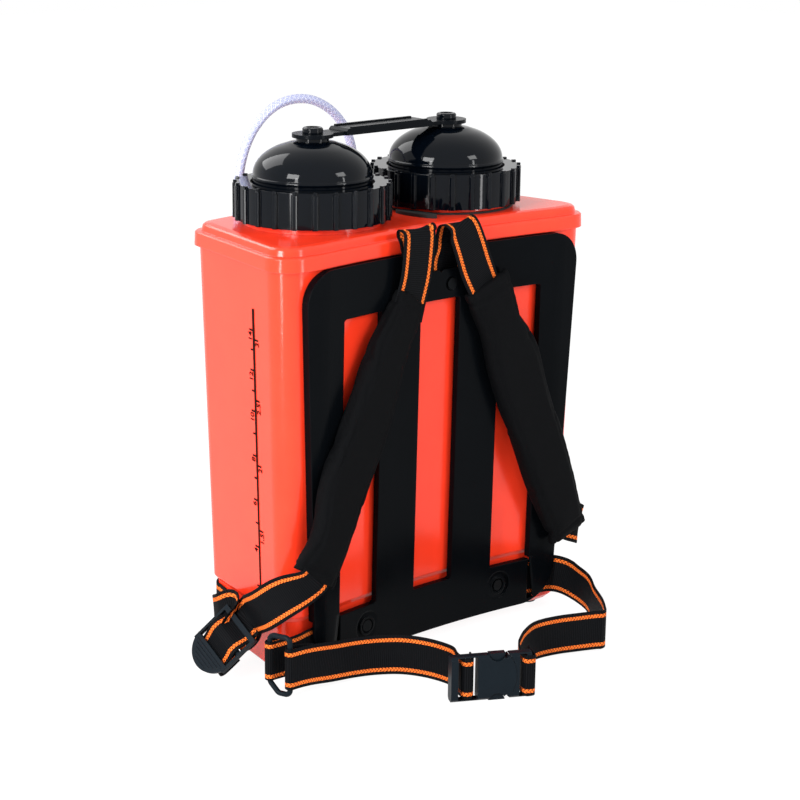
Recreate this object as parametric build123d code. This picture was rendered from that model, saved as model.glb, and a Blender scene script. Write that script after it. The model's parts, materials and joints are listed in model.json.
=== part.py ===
"""Backpack sprayer: kidney-shaped tank, twin screw caps, back frame, harness, waist belt and hand pump.

Millimetres, +Z up.  The origin is on the floor under the tank, midway between its sides.
-Y is the wearer's side with the back frame and the harness, +Y the outer side with the pump.
"""
from build123d import *
from math import atan2, cos, degrees, hypot, pi, radians, sin, tan
import os

os.makedirs("parts", exist_ok=True)

# tank plan, measured at the lid's lip
front_w = 390.0           # width on the wearer's side
rear_w = 334.0            # width on the outer side
front_y = -78.3           # the wearer's side
rear_y = 90.6             # the outer side, at its corners
hollow = 11.6             # how far the wearer's side curves in
hollow_half = 146.0       # half the width of that curve
bulge = 17.1              # how far the outer side curves out
plan_r = 23.0             # corner radius of the lip
crease_r = 60.0           # blend where the hollow begins
# tank heights and walls
foot_h = 4.0
lip_z = 385.7             # underside of the lid's lip
lip_h = 12.9
lip_overhang = 4.0        # the lip stands this far outside the tub
side_draft = 10.2         # taper of each side, lip to base
face_draft = 7.3          # taper of front and rear, lip to base
wall = 2.8
floor_t = 3.4
recess_z = 65.0           # top of the strap recess round the base
recess_in = 3.0
recess_ramp = 5.0
base_chamfer = 5.0
rim_h = 8.0               # tub rim inside the lid
rim_gap = 0.3
# lid
lip_wall = 2.6
lid_wall = 3.0
ledge_w = 5.0             # flat ledge inside the lip's top edge
plateau_h = 8.2           # lid top above the ledge
shoulder_w = 6.0
seal_t = 2.0
# necks, collars and domes
cap_pitch = 165.4         # between the two necks
cap_y = 14.6
neck_r = 63.0
neck_wall = 3.5
neck_top_z = 433.0
crest_h = 1.8             # thread ridge on the neck
thread_gap = 0.5          # between neck crests and collar crests
thread_pitch = 6.0
collar_r = 70.4           # body of the ring nut
collar_rib = 2.7          # how far a rib stands out
collar_ribs = 24
rib_w = 5.2
collar_z = 411.9
collar_h = 33.1
collar_flange = 4.8
collar_hole_r = 57.0
strainer_t = 1.5
gasket_t = 2.0
dome_flange_t = 3.6
dome_r = 54.7
dome_band_h = 11.5        # straight band under the dome's curve
dome_h = 31.5
dome_wall = 3.0
dome_boss_h = 2.0
# carry handle
eye_r = 19.0
eye_t = 3.5
grip_w = 26.0
grip_rise = 2.6
grip_end = 30.0           # where the raised grip begins, from each neck's axis
rib_h = 1.4
screw_r = 3.0
button_r = 9.5
button_h = 5.5
# back frame
frame_half = 161.7
frame_front = 9.0         # front of the frame, out from the tub
frame_plate = 3.0
frame_rim = 3.0
frame_bottom = 11.0
frame_top_gap = 0.9
frame_top_r = 30.0
frame_low_r = 40.0
window_w = 49.2
window_bottom = 57.4
window_top = 337.5
window_r = 3.0
notch_half = 50.0
notch_depth = 19.5
frame_clear = 0.3
# webbing and harness
web_w = 39.0
web_t = 1.8
pad_t = 11.0
boss_x = 85.0
boss_z = 37.4
screw_m = 2.5             # radius of the frame screws
anchor_z = 351.0
anchor_left = -28.3
anchor_right = 13.0
rod_r = 2.5
# hose and pump
hose_r = 4.5
hose_bore = 3.0
pump_x = 146.0
hose_y = 118.0            # the hose and the pump hang in this plane
tube_r = 7.0
barrel_r = 13.0
barrel_bore = 11.0
running = 0.05            # radial running clearance
grip_r = 15.0

front_half = front_w / 2
rear_half = rear_w / 2
ledge_z = lip_z + lip_h
plateau_z = ledge_z + plateau_h
rim_z = lip_z + rim_h
window_pitch = 2 * window_w


# shared forms
def hollow_edges(half, y):
    """Edges of the wearer's side from -half to half, ends flat and the middle hollowed, ends eased."""
    big = (hollow_half ** 2 + hollow ** 2) / (2 * hollow)
    yc = y + hollow - big
    cx = ((big + crease_r) ** 2 - (y + crease_r - yc) ** 2) ** 0.5
    cy = y + crease_r
    reach = hypot(cx, cy - yc)
    tx = cx * big / reach
    ty = yc + (cy - yc) * big / reach
    angle = (-90 + degrees(atan2(cy - yc, cx)) - 180) / 2
    mx = cx + crease_r * cos(radians(angle))
    my = cy + crease_r * sin(radians(angle))
    return [
        Line((-half, y), (-cx, y)),
        ThreePointArc((-cx, y), (-mx, my), (-tx, ty)),
        ThreePointArc((-tx, ty), (0, y + hollow), (tx, ty)),
        ThreePointArc((tx, ty), (mx, my), (cx, y)),
        Line((cx, y), (half, y)),
    ]


def corners(inset_x, inset_y):
    """Corner circles of the kidney outline: front centre, rear centre, side direction and radius."""
    xf = front_half - inset_x
    xr = rear_half - inset_x
    yf = front_y + inset_y
    yr = rear_y - inset_y
    r = plan_r - inset_x / 2
    length = hypot(xr - xf, yr - yf)
    dx = (xr - xf) / length
    dy = (yr - yf) / length
    turn = degrees(atan2(dy, dx))
    c1 = Vector(xf - r * tan(radians(turn) / 2), yf + r)
    big = (xr ** 2 + bulge ** 2) / (2 * bulge)
    yc = yr + bulge - big
    ox = xf - dy * r
    oy = yf + dx * r - yc
    half_b = ox * dx + oy * dy
    s = -half_b + (half_b ** 2 - ox ** 2 - oy ** 2 + (big - r) ** 2) ** 0.5
    c2 = Vector(ox + s * dx, oy + s * dy + yc)
    return c1, c2, Vector(dy, -dx), Vector(c2.X, c2.Y - yc).normalized(), r


def plan(inset_x, inset_y, z):
    """Kidney outline of the tank, pulled in by the two insets, as a face at height z."""
    yf = front_y + inset_y
    yr = rear_y - inset_y
    c1, c2, side, out, r = corners(inset_x, inset_y)
    p1 = c1 + side * r
    p2 = c2 + side * r
    p3 = c2 + out * r
    m1 = c1 + (Vector(0, -1) + side).normalized() * r
    m2 = c2 + (out + side).normalized() * r

    def pair(v, sign):
        return (sign * v.X, v.Y)

    edges = hollow_edges(c1.X, yf)
    for sign in (1, -1):
        edges += [
            ThreePointArc((sign * c1.X, yf), pair(m1, sign), pair(p1, sign)),
            Line(pair(p1, sign), pair(p2, sign)),
            ThreePointArc(pair(p2, sign), pair(m2, sign), pair(p3, sign)),
        ]
    edges.append(ThreePointArc(pair(p3, 1), (0, yr + bulge), pair(p3, -1)))
    return Pos(0, 0, z) * make_face(edges)


def taper(z, draft):
    """How far a drafted wall has come in at height z."""
    return draft * (lip_z - z) / (lip_z - foot_h)


def tub_plan(z, extra):
    """Section of the tub at height z, pulled in a further distance."""
    return plan(lip_overhang + taper(z, side_draft) + extra, lip_overhang + taper(z, face_draft) + extra, z)


def tub_body(shrink, bottom, top):
    """Solid of the tub's outer form, shrunk evenly, with the strap recess round its base."""
    low = recess_in + shrink
    return loft([
        tub_plan(bottom, low + base_chamfer),
        tub_plan(bottom + base_chamfer, low),
        tub_plan(recess_z - recess_ramp, low),
        tub_plan(recess_z, shrink),
        tub_plan(top, shrink),
    ], ruled=True)


def face_y(x, z):
    """Y of the tub's wearer side, above the recess, at a place on it."""
    curve = hollow * max(0, 1 - (x / hollow_half) ** 2)
    return front_y + lip_overhang + taper(z, face_draft) + curve


def face_block(out, bottom, top):
    """Everything behind a surface that lies a distance out from the tub's wearer side."""
    def section(z):
        y = front_y + lip_overhang + taper(z, face_draft) - out
        back = [
            Line((front_half, y), (front_half, 0)),
            Line((front_half, 0), (-front_half, 0)),
            Line((-front_half, 0), (-front_half, y)),
        ]
        return Pos(0, 0, z) * make_face(hollow_edges(front_half, y) + back)
    return loft([section(bottom), section(top)], ruled=True)


def disc(x, y, z, r, h):
    """Upright cylinder standing on height z."""
    return Pos(x, y, z) * Cylinder(r, h, align=(Align.CENTER, Align.CENTER, Align.MIN))


def ring(x, y, z, r, bore, h):
    """Upright tube standing on height z."""
    return disc(x, y, z, r, h) - disc(x, y, z, bore, h)


def standing_box(x, y, z):
    """Box centred in plan with its base at zero."""
    return Box(x, y, z, align=(Align.CENTER, Align.CENTER, Align.MIN))


def rod_y(x, z, r, y0, y1):
    """Cylinder along Y between two places."""
    return Pos(x, min(y0, y1), z) * Rot(-90, 0, 0) * Cylinder(
        r, abs(y1 - y0), align=(Align.CENTER, Align.CENTER, Align.MIN))


def block(x0, x1, y0, y1, z0, z1):
    """Box between two corners."""
    return Pos(x0, y0, z0) * Box(x1 - x0, y1 - y0, z1 - z0, align=(Align.MIN, Align.MIN, Align.MIN))


def upright(sketch, y0, y1):
    """Push an X-Z sketch along Y between two places."""
    return extrude(Plane((0, y1, 0), x_dir=(1, 0, 0), z_dir=(0, -1, 0)) * sketch, y1 - y0)


def curve_through(points, steps):
    """Points of a smooth curve that passes through the given ones (Catmull-Rom)."""
    p = [Vector(*q) for q in points]
    p = [p[0] * 2 - p[1]] + p + [p[-1] * 2 - p[-2]]
    out = []
    for i in range(1, len(p) - 2):
        for k in range(steps):
            t = k / steps
            a = p[i] * 2
            b = (p[i + 1] - p[i - 1]) * t
            c = (p[i - 1] * 2 - p[i] * 5 + p[i + 1] * 4 - p[i + 2]) * t ** 2
            d = (p[i] * 3 - p[i - 1] - p[i + 1] * 3 + p[i + 2]) * t ** 3
            out.append((a + b + c + d) * 0.5)
    return out + [p[-2]]


def ribbon(stations, steps, width, thick, corner=0.0):
    """Flat strap through stations of (centre, across direction, optional width)."""
    centres = curve_through([s[0] for s in stations], steps)
    across = curve_through([s[1] for s in stations], steps)
    widths = curve_through([(s[2] if len(s) > 2 else width, 0, 0) for s in stations], steps)
    faces = []
    for i, centre in enumerate(centres):
        ahead = centres[min(i + 1, len(centres) - 1)] - centres[max(i - 1, 0)]
        side = (across[i] - ahead * (across[i].dot(ahead) / ahead.dot(ahead))).normalized()
        frame = Plane(centre, x_dir=side, z_dir=ahead.normalized())
        if corner:
            faces.append(frame * RectangleRounded(widths[i].X, thick, corner))
        else:
            faces.append(frame * Rectangle(widths[i].X, thick))
    return loft(faces, ruled=True)


def mirror_x(shape):
    """The same piece on the other side of the tank."""
    return mirror(shape, about=Plane.YZ)


parts = {}

# tub
foot_places = [(-150, -46), (150, -46), (-124, 58), (124, 58), (0, 0)]
foot_r = 9.0
peg_r = 3.5
peg_h = 2.2
fit = 0.1
boss_r = 8.0
boss_deep = 12.0
boss_out = -0.3
insert_r = 4.0
insert_l = 8.0
outlet_x = -92.0
outlet_z = 84.0
outlet_r = 7.0
pump_pads = [(pump_x - 24, 186.0), (pump_x - 24, 322.0)]
hose_pads = [(-95.0, 195.0), (-91.5, 330.0), (50.9, 300.0), (42.7, 225.0)]
rear_pads = pump_pads + hose_pads
pad_depth = 9.0
rear_pad_out = 2.5        # pads stand proud of the rear wall
vent_y = 72.0


def rear_face_y(x, z):
    """Y of the tub's outer side at a place on it."""
    half = rear_half - lip_overhang - taper(z, side_draft)
    return rear_y - lip_overhang - taper(z, face_draft) + bulge * (1 - (x / half) ** 2)


def boss_y(x, z):
    """Outer end of a screw boss of the wearer's side."""
    return face_y(x, z) - boss_out if z < recess_z else face_y(x, z) + 0.5


frame_points = [(-boss_x, boss_z), (boss_x, boss_z), (anchor_left, anchor_z), (anchor_right, anchor_z)]


def make_tub():
    """Blow-moulded tub with its screw bosses, rear pads and outlet pad."""
    inset = lip_wall + rim_gap
    tub = tub_body(0, foot_h, rim_z)
    tub -= tub_body(wall, foot_h + floor_t, rim_z + 1)
    for x, z in frame_points:
        tub += rod_y(x, z, boss_r, boss_y(x, z), face_y(x, z) + boss_deep + recess_in)
    for x, z in rear_pads:
        tub += rod_y(x, z, 6.0, rear_face_y(x, z) - pad_depth, rear_face_y(x, z) + rear_pad_out)
    y = rear_face_y(outlet_x, outlet_z)
    tub += rod_y(outlet_x, outlet_z, 15.0, y - 5.5, y + rear_pad_out)
    tub -= rod_y(outlet_x, outlet_z, outlet_r + fit, 0, rear_y + 40)
    for x, z in frame_points:
        tub -= rod_y(x, z, insert_r + fit, front_y, boss_y(x, z) + insert_l)
        tub -= rod_y(x, z, screw_m + fit, front_y, face_y(x, z) + boss_deep)
    for x, z in rear_pads:
        tub -= rod_y(x, z, 2.0 + fit, rear_face_y(x, z) - pad_depth + 1.5, rear_y + 40)
    for x, y in foot_places:
        tub -= disc(x, y, foot_h - 1, peg_r + fit, peg_h + 1)
    return tub


def make_feet():
    feet = []
    for x, y in foot_places:
        foot = disc(x, y, 0, foot_r, foot_h)
        foot = chamfer(foot.edges().sort_by(Axis.Z)[0], 1)
        feet.append(foot + disc(x, y, foot_h, peg_r, peg_h - 0.2))
    return Compound(feet)


parts["tank_tub"] = make_tub()
parts["rubber_feet"] = make_feet()

# lid and its seal
cavity_in = ledge_w + 4.0


def thread(x, r, grow, z0, z1):
    """Plain ridges round a neck (grow > 0) or inside a collar (grow < 0)."""
    ridges = []
    z = z0
    while z + 3 < z1:
        ridges.append(Pos(x, cap_y, z) * revolve(Plane.XZ * make_face(
            Polyline((r, 0), (r + grow, 0.9), (r + grow, 1.9), (r, 2.8), close=True)), Axis.Z))
        z += thread_pitch
    return ridges


def make_lid():
    inner = ledge_w + 1.2
    lid = loft([
        plan(0, 0, lip_z),
        plan(0.4, 0.4, ledge_z - 1.2),
        plan(1.5, 1.5, ledge_z),
        plan(ledge_w, ledge_w, ledge_z + 0.4),
        plan(inner, inner, plateau_z - 2.6),
        plan(inner + 1.8, inner + 1.8, plateau_z - 0.9),
        plan(inner + shoulder_w, inner + shoulder_w, plateau_z),
    ], ruled=True)
    lid -= loft([plan(lip_wall, lip_wall, lip_z - 1), plan(lip_wall, lip_wall, rim_z + seal_t)])
    lid -= loft([
        plan(cavity_in, cavity_in, rim_z + seal_t - 1),
        plan(cavity_in + 3, cavity_in + 3, plateau_z - lid_wall),
    ])
    lid -= disc(0, vent_y, plateau_z - 10, 2.0 + fit, 20)
    for x in (-cap_pitch / 2, cap_pitch / 2):
        lid += disc(x, cap_y, plateau_z - lid_wall, neck_r, neck_top_z - plateau_z + lid_wall)
        for ridge in thread(x, neck_r, crest_h, collar_z + 3, neck_top_z - 1):
            lid += ridge
        lid -= disc(x, cap_y, plateau_z - lid_wall - 5, neck_r - neck_wall, 60)
    return lid


parts["tank_lid"] = make_lid()
parts["lid_seal"] = (loft([plan(3.2, 3.2, rim_z), plan(3.2, 3.2, rim_z + seal_t)])
                     - loft([plan(6.4, 6.4, rim_z), plan(6.4, 6.4, rim_z + seal_t)]))

# what closes each neck
gasket_z = neck_top_z + strainer_t
flange_z = gasket_z + gasket_t
dome_z = flange_z + dome_flange_t + dome_band_h
boss_top = dome_z + dome_h + dome_boss_h
basket_r = neck_r - neck_wall - 1.5
basket_depth = 62.0
basket_wall = 1.6


def make_strainer(x):
    """Lift-out basket: a flange on the neck's rim, a drum with windows and a floor with a grid of holes."""
    z0 = neck_top_z - basket_depth
    basket = disc(x, cap_y, neck_top_z, neck_r, strainer_t) + disc(x, cap_y, z0, basket_r, basket_depth)
    basket -= disc(x, cap_y, z0 + basket_wall, basket_r - basket_wall, basket_depth + 5)
    for k in range(8):
        cut = Rot(0, 0, k * 22.5) * Box(2.4 * basket_r, 14, 26)
        basket -= Pos(x, cap_y, z0 + 22) * cut
    holes = [Pos(x, cap_y, z0) * Rot(0, 0, k * 60 + 15 * n) * Pos(14.0 * n, 0, 0) * Cylinder(3.5, 8)
             for n in (1, 2, 3) for k in range(6)]
    basket -= holes
    return basket


def make_collar(x):
    """Ribbed ring nut with an inward flange at its top."""
    inner = neck_r + crest_h + thread_gap + crest_h
    collar = disc(x, cap_y, collar_z, collar_r, collar_h)
    rib = Pos(collar_r + collar_rib / 2 - 0.4, 0, 0) * standing_box(collar_rib + 0.8, rib_w, collar_h - 1.6)
    rib = chamfer(rib.edges().filter_by(Axis.Z).group_by(Axis.X)[-1], 1.1)
    bump = Pos(collar_r + 0.4, 0, collar_h - 2.2) * standing_box(3.4, rib_w - 2, 3.4)
    for k in range(collar_ribs):
        collar += Pos(x, cap_y, collar_z) * Rot(0, 0, (k + 0.5) * 360 / collar_ribs) * (rib + bump)
    collar -= disc(x, cap_y, collar_z - 1, inner, collar_h + 1 - collar_flange)
    collar -= disc(x, cap_y, collar_z, collar_hole_r, collar_h + 5)
    for ridge in thread(x, inner, -crest_h, collar_z + 3 + thread_pitch / 2, neck_top_z - 3):
        collar += ridge
    return collar


def quarter_ellipse(r, h, z, reach):
    """Curve of a dome's section from its edge towards the crown."""
    angles = [radians(reach * k / 8) for k in range(9)]
    points = [(r * cos(a), z + h * sin(a)) for a in angles]
    end = (-r * sin(angles[-1]), h * cos(angles[-1]))
    return Spline(points, tangents=[(0, 1), end])


def make_dome(x):
    """Domed cap: a flange under the collar, a straight band with a bead, a low dome and a flat boss."""
    base = flange_z + dome_flange_t
    flange_r = neck_r + 1.2
    line = [
        Line((0, flange_z), (flange_r, flange_z)),
        Line((flange_r, flange_z), (flange_r, base)),
        Line((flange_r, base), (dome_r, base)),
        Line((dome_r, base), (dome_r, dome_z - 4)),
        ThreePointArc((dome_r, dome_z - 4), (dome_r + 1.1, dome_z - 2), (dome_r, dome_z)),
        quarter_ellipse(dome_r, dome_h, dome_z, 74),
    ]
    tip = line[-1] @ 1
    line += [
        Line(tip, (tip.X, boss_top)),
        Line((tip.X, boss_top), (0, boss_top)),
        Line((0, boss_top), (0, flange_z)),
    ]
    dome = revolve(Plane.XZ * make_face(line), Axis.Z)
    hollow_r = dome_r - dome_wall
    inside = make_face([
        Line((0, flange_z - 1), (hollow_r, flange_z - 1)),
        Line((hollow_r, flange_z - 1), (hollow_r, dome_z)),
        quarter_ellipse(hollow_r, dome_h - dome_wall, dome_z, 90),
        Line((0, dome_z + dome_h - dome_wall), (0, flange_z - 1)),
    ])
    dome -= revolve(Plane.XZ * inside, Axis.Z)
    dome += disc(0, 0, boss_top - 16, screw_r + 4, 14)
    dome -= disc(0, 0, boss_top - 13, screw_r + fit, 20)
    return Pos(x, cap_y, 0) * dome


for side, x in (("left", -cap_pitch / 2), ("right", cap_pitch / 2)):
    parts[side + "_strainer"] = make_strainer(x)
    parts[side + "_cap_gasket"] = ring(x, cap_y, gasket_z, neck_r - 0.2, neck_r - neck_wall - 3, gasket_t)
    parts[side + "_collar"] = make_collar(x)
    parts[side + "_dome"] = make_dome(x)

# carry handle between the domes
handle_z = boss_top


def make_handle():
    """Flat moulded bar with round eyes, its grip raised a step and edged with ribs."""
    half = cap_pitch / 2
    handle = Pos(0, cap_y, handle_z) * standing_box(cap_pitch, grip_w * 0.8, eye_t)
    for x in (-half, half):
        handle += disc(x, cap_y, handle_z, eye_r, eye_t)
    run = cap_pitch - 2 * grip_end
    raised = Pos(0, cap_y, handle_z) * standing_box(run, grip_w, eye_t + grip_rise)
    raised = chamfer(raised.edges().filter_by(Axis.Y).group_by(Axis.Z)[-1], 2.2)
    handle += raised
    handle -= Pos(0, cap_y, handle_z) * standing_box(run - 18, grip_w - 9, grip_rise + 0.2)
    top = handle_z + eye_t + grip_rise
    for y in (-grip_w / 2 + 1.5, grip_w / 2 - 1.5):
        handle += Pos(0, cap_y + y, top) * standing_box(run - 12, 3, rib_h)
    for x in (-half, half):
        handle -= disc(x, cap_y, handle_z - 1, screw_r + fit, 20)
    return handle


def make_handle_screws():
    screws = []
    for x in (-cap_pitch / 2, cap_pitch / 2):
        z = handle_z + eye_t
        shank = disc(x, cap_y, boss_top - 12, screw_r, z - boss_top + 12)
        screws.append(shank + disc(x, cap_y, z, 5.5, 2.4))
    return Compound(screws)


def make_buttons():
    buttons = []
    for x in (-cap_pitch / 2, cap_pitch / 2):
        z = handle_z + eye_t
        button = disc(x, cap_y, z, button_r, button_h)
        button = chamfer(button.edges().sort_by(Axis.Z)[-1], 1.2)
        button -= disc(x, cap_y, z + button_h - 0.8, button_r - 3.2, 2)
        buttons.append(button - disc(x, cap_y, z - 1, 5.5 + fit, 1 + 2.4 + fit))
    return Compound(buttons)


parts["carry_handle"] = make_handle()
parts["handle_screws"] = make_handle_screws()
parts["handle_buttons"] = make_buttons()


def make_leash():
    """Flat rubber ring round the right neck, with the leaf-shaped tab that shows between the collars."""
    x = cap_pitch / 2
    leash = ring(x, cap_y, plateau_z, neck_r + 2.6, neck_r + 0.3, 1.8)
    leaf = Pos(15.5, cap_y - 33, plateau_z) * Rot(0, 0, -80) * extrude(Ellipse(24, 6.5), 3.2)
    return leash + (leaf - disc(x, cap_y, plateau_z - 1, neck_r + 0.3, 9))


parts["cap_leash"] = make_leash()
parts["vent_valve"] = (disc(0, vent_y, plateau_z - lid_wall - 2, 7, 2)
                       + disc(0, vent_y, plateau_z - lid_wall, 2, lid_wall)
                       + disc(0, vent_y, plateau_z, 3.4, 2.4))

# back frame
frame_top = lip_z - frame_top_gap
frame_back = frame_front - frame_plate


def frame_outline(inset):
    """X-Z outline of the frame, pulled in by a distance."""
    low = frame_half - 8.5 - inset
    high = frame_half + 6.9 - inset
    bottom = frame_bottom + inset
    top = frame_top - inset
    face = make_face(Polyline((-low, bottom), (low, bottom), (high, top), (-high, top), close=True))
    corners = face.vertices().sort_by(Axis.Y)
    face = fillet(corners[2:], frame_top_r - inset)
    corners = face.vertices().sort_by(Axis.Y)
    return fillet(corners[:2], frame_low_r - inset)


def frame_prism(inset):
    return upright(frame_outline(inset), -130, 0)


def band(outer, inner):
    """Curved layer between two distances out from the tub's wearer side."""
    return face_block(outer, 0, frame_top + 10) - face_block(inner, -1, frame_top + 11)


def screw_seat(x, z):
    """Y that a frame screw's head bears on."""
    return face_y(x, z) - frame_front + (2.2 if z < recess_z else 0.8)


def make_frame():
    """Moulded back frame: curved plate, rim, three framed windows, bosses, strap notch and belt slots."""
    tall = window_top - window_bottom
    middle = (window_top + window_bottom) / 2
    plate = frame_prism(0) & band(frame_front, frame_back)
    rim = (frame_prism(0) - frame_prism(frame_rim)) & band(frame_front - 0.5, frame_clear)
    frame = plate + rim
    for x in (-window_pitch, 0, window_pitch):
        outer = Pos(x, middle) * RectangleRounded(window_w + 5, tall + 5, window_r + 2.5)
        frame += upright(outer, -130, 0) & band(frame_front - 0.5, frame_clear + 2)
    for x in (-window_pitch, 0, window_pitch):
        frame -= upright(Pos(x, middle) * RectangleRounded(window_w, tall, window_r), -130, 0)
    for x in (-boss_x, boss_x):
        y = face_y(x, boss_z)
        frame += rod_y(x, boss_z, 9, y - frame_front + 0.6, y - 4.4)
        frame -= rod_y(x, boss_z, 7, y - frame_front - 5, y - frame_front + 2.2)
        frame -= (rod_y(x, boss_z, 14, y - frame_front - 5, y - frame_front + 1.1)
                  - rod_y(x, boss_z, 9.5, y - frame_front - 6, y))
    for x in (anchor_left, anchor_right):
        frame -= rod_y(x, anchor_z, 6.5, -130, screw_seat(x, anchor_z))
    for x, z in frame_points:
        frame -= rod_y(x, z, screw_m + fit, -130, face_y(x, z))
    notch_low = frame_top - notch_depth
    notch = Polyline(
        (-notch_half, frame_top + 9), (-notch_half, notch_low), (-3, notch_low), (0, notch_low - 2.5),
        (3, notch_low), (notch_half, notch_low), (notch_half, frame_top + 9), close=True)
    frame -= upright(make_face(notch), -130, 0)
    low = frame_half - 40
    for sign in (-1, 1):
        x0, x1 = sorted((sign * low, sign * (frame_half + 10)))
        frame -= block(x0, x1, face_y(150, boss_z) - frame_back, 0, boss_z - 22, boss_z + 22)
    return frame


def make_screws():
    """Pan-head screws of the back frame."""
    screws = []
    for x, z in frame_points:
        seat = screw_seat(x, z)
        end = boss_y(x, z) + insert_l + 2
        screws.append(rod_y(x, z, 5.5, seat - 2.2, seat) + rod_y(x, z, screw_m, seat, end))
    return Compound(screws)


def make_inserts():
    """Brass inserts moulded into the tub's bosses."""
    return Compound([
        rod_y(x, z, insert_r, boss_y(x, z), boss_y(x, z) + insert_l)
        - rod_y(x, z, screw_m + fit, front_y - 5, boss_y(x, z) + insert_l + 1) for x, z in frame_points])


parts["back_frame"] = make_frame()
parts["frame_screws"] = make_screws()
parts["frame_inserts"] = make_inserts()


def clamp_bar(x0, x1, z0, z1):
    """Curved clamp plate behind the frame, over a webbing end."""
    bar = block(x0, x1, -120, 0, z0, z1) & band(frame_back, 2.45)
    for x, z in frame_points:
        bar -= rod_y(x, z, screw_m + fit, -130, 0)
    return bar


parts["strap_anchor_plate"] = clamp_bar(-notch_half, 36, anchor_z - 10, anchor_z + 10)

# harness
web_gap = 0.5 + web_t / 2       # webbing centre, out from the tub's wall


def on_face(x, z, out):
    return Vector(x, face_y(x, z) - out, z)


def punched(web):
    """Webbing with the frame screws' holes through it."""
    for x, z in frame_points:
        web -= rod_y(x, z, screw_m + 0.4, -100, 0)
    return web


def edge_station(left, right, out):
    """Ribbon station from its two edge points (x, z) at a distance out from the tub."""
    a = on_face(left[0], left[1], out)
    b = on_face(right[0], right[1], out)
    return ((a + b) * 0.5, (b - a).normalized(), (b - a).length)


def vertical(x, y, z):
    """Ribbon station of webbing that stands on edge."""
    return ((x, y, z), (0, 0, 1))


def along_face(x, z, out):
    """Ribbon station of upright webbing along the tub's wearer side."""
    return (on_face(x, z, out), (0, 0, 1))


def flat(x, z, out):
    """Ribbon station of webbing that lies along the tub's wearer side."""
    slope = (face_y(x + 1, z) - face_y(x - 1, z)) / 2
    return (on_face(x, z, out), (1, slope, 0))


left_pad_edges = [
    ((-62, 350), (-27, 337)), ((-79, 328), (-36, 317)), ((-98, 307), (-51, 284)), ((-129, 253), (-73, 226)),
    ((-157, 203), (-99, 178)), ((-171, 160), (-126, 134)), ((-190, 133), (-151, 97)),
]
right_pad_edges = [
    ((22, 343), (74, 344)), ((33, 316), (85, 322)), ((41, 297), (93, 307)), ((50, 265), (114, 279)),
    ((68, 219), (131, 239)), ((90, 173), (151, 191)), ((112, 129), (170, 144)), ((144, 73), (184, 95)),
]
pad_out = 16.5            # pad centre, out from the tub
left_low = [0, 0, 0, 0, 1, 6, 12]
right_low = [0, 0, 0, 0, 0, 1, 2, 3]


def make_pad(edges, lean):
    stations = [edge_station(a, b, pad_out + more) for (a, b), more in zip(edges, lean)]
    return ribbon(stations, 4, 0, pad_t, 4.0)


def make_shoulder_web(anchor_x, top_x, front_x, end):
    """Webbing from its clamp, up behind the frame, over in front of the lid's lip and down into the pad."""
    stations = [
        flat(anchor_x, anchor_z - 11, web_gap),
        flat(anchor_x, anchor_z + 4, web_gap),
        flat(anchor_x, frame_top - 12, web_gap + 0.3),
        flat(anchor_x, lip_z - 1, lip_overhang + 1.9),
        flat(anchor_x + (top_x - anchor_x) * 0.3, ledge_z - 3, lip_overhang + 2.3),
        flat(anchor_x + (top_x - anchor_x) * 0.7, ledge_z + 6.5, lip_overhang + 4.2),
        flat(top_x, ledge_z + 9.2, lip_overhang + 9.0),
        flat(top_x + (front_x - top_x) * 0.15, ledge_z + 5, lip_overhang + 13.2),
        flat(top_x + (front_x - top_x) * 0.5, 388, lip_overhang + 14.3),
        flat(front_x, 365, lip_overhang + 13.5),
        (on_face(end[0], end[1], pad_out), (1, 0.03, 0)),
        (on_face(end[0] + (end[0] - front_x) * 0.8, end[1] - 16, pad_out), (1, 0.03, 0)),
    ]
    return punched(ribbon(stations, 4, web_w, web_t))


parts["left_shoulder_webbing"] = make_shoulder_web(anchor_left, -36, -40, (-45.5, 343))
parts["right_shoulder_webbing"] = make_shoulder_web(anchor_right, 14.6, 35.5, (48.2, 343))
parts["left_shoulder_pad"] = make_pad(left_pad_edges, left_low) - parts["left_shoulder_webbing"]
parts["right_shoulder_pad"] = make_pad(right_pad_edges, right_low) - parts["right_shoulder_webbing"]

# ladder locks: local X across the webbing, -Y towards the tab, +Z outwards
lock_across = Vector(0, -0.875, -0.484)
lock_out = Vector(-0.807, -0.287, 0.518)
lock_along = Vector(-0.592, 0.391, -0.706)
lock_left = Vector(-201, -26, 55)
lock_right = Vector(199, 2, 56)
lock_half = 23.5


lock_window = lock_half - 2.3
lock_bar = 18.0         # the middle bar, on which the lock tilts, from the top bar


def make_lock(centre):
    """Three-bar ladder lock with a ribbed, rounded tab."""
    lock = Pos(0, -19, 0) * Box(2 * lock_half, 43, 5)
    lock -= Pos(0, -19, 0) * Box(2 * lock_window, 33, 9)
    lock += Pos(0, -lock_bar, 0) * Rot(0, 90, 0) * Cylinder(2.5, 2 * lock_window + 2)
    lock -= Pos(0, -2.5, -2.8) * Box(2 * lock_window, 11, 6)
    lock -= Pos(0, -38, -3.5) * Box(2 * lock_window, 9, 6)
    tab = Pos(0, -34, -0.5) * extrude(make_face([
        Line((-lock_half, 0), (lock_half, 0)),
        ThreePointArc((lock_half, 0), (0, -21), (-lock_half, 0)),
    ]), 3.4)
    lock += tab
    for k in range(5):
        ridge = Pos(0, -38.5 - 3.2 * k, 2.9) * Box(2 * lock_half * (0.86 - 0.13 * k), 1.4, 1.4)
        lock += ridge
    plane = Plane(centre, x_dir=lock_across, z_dir=lock_out)
    return plane * lock


def lock_station(centre, along, out):
    """Ribbon station inside the lock: distances along it and out of it."""
    return (centre + lock_along * along + lock_out * out, lock_across)


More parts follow.
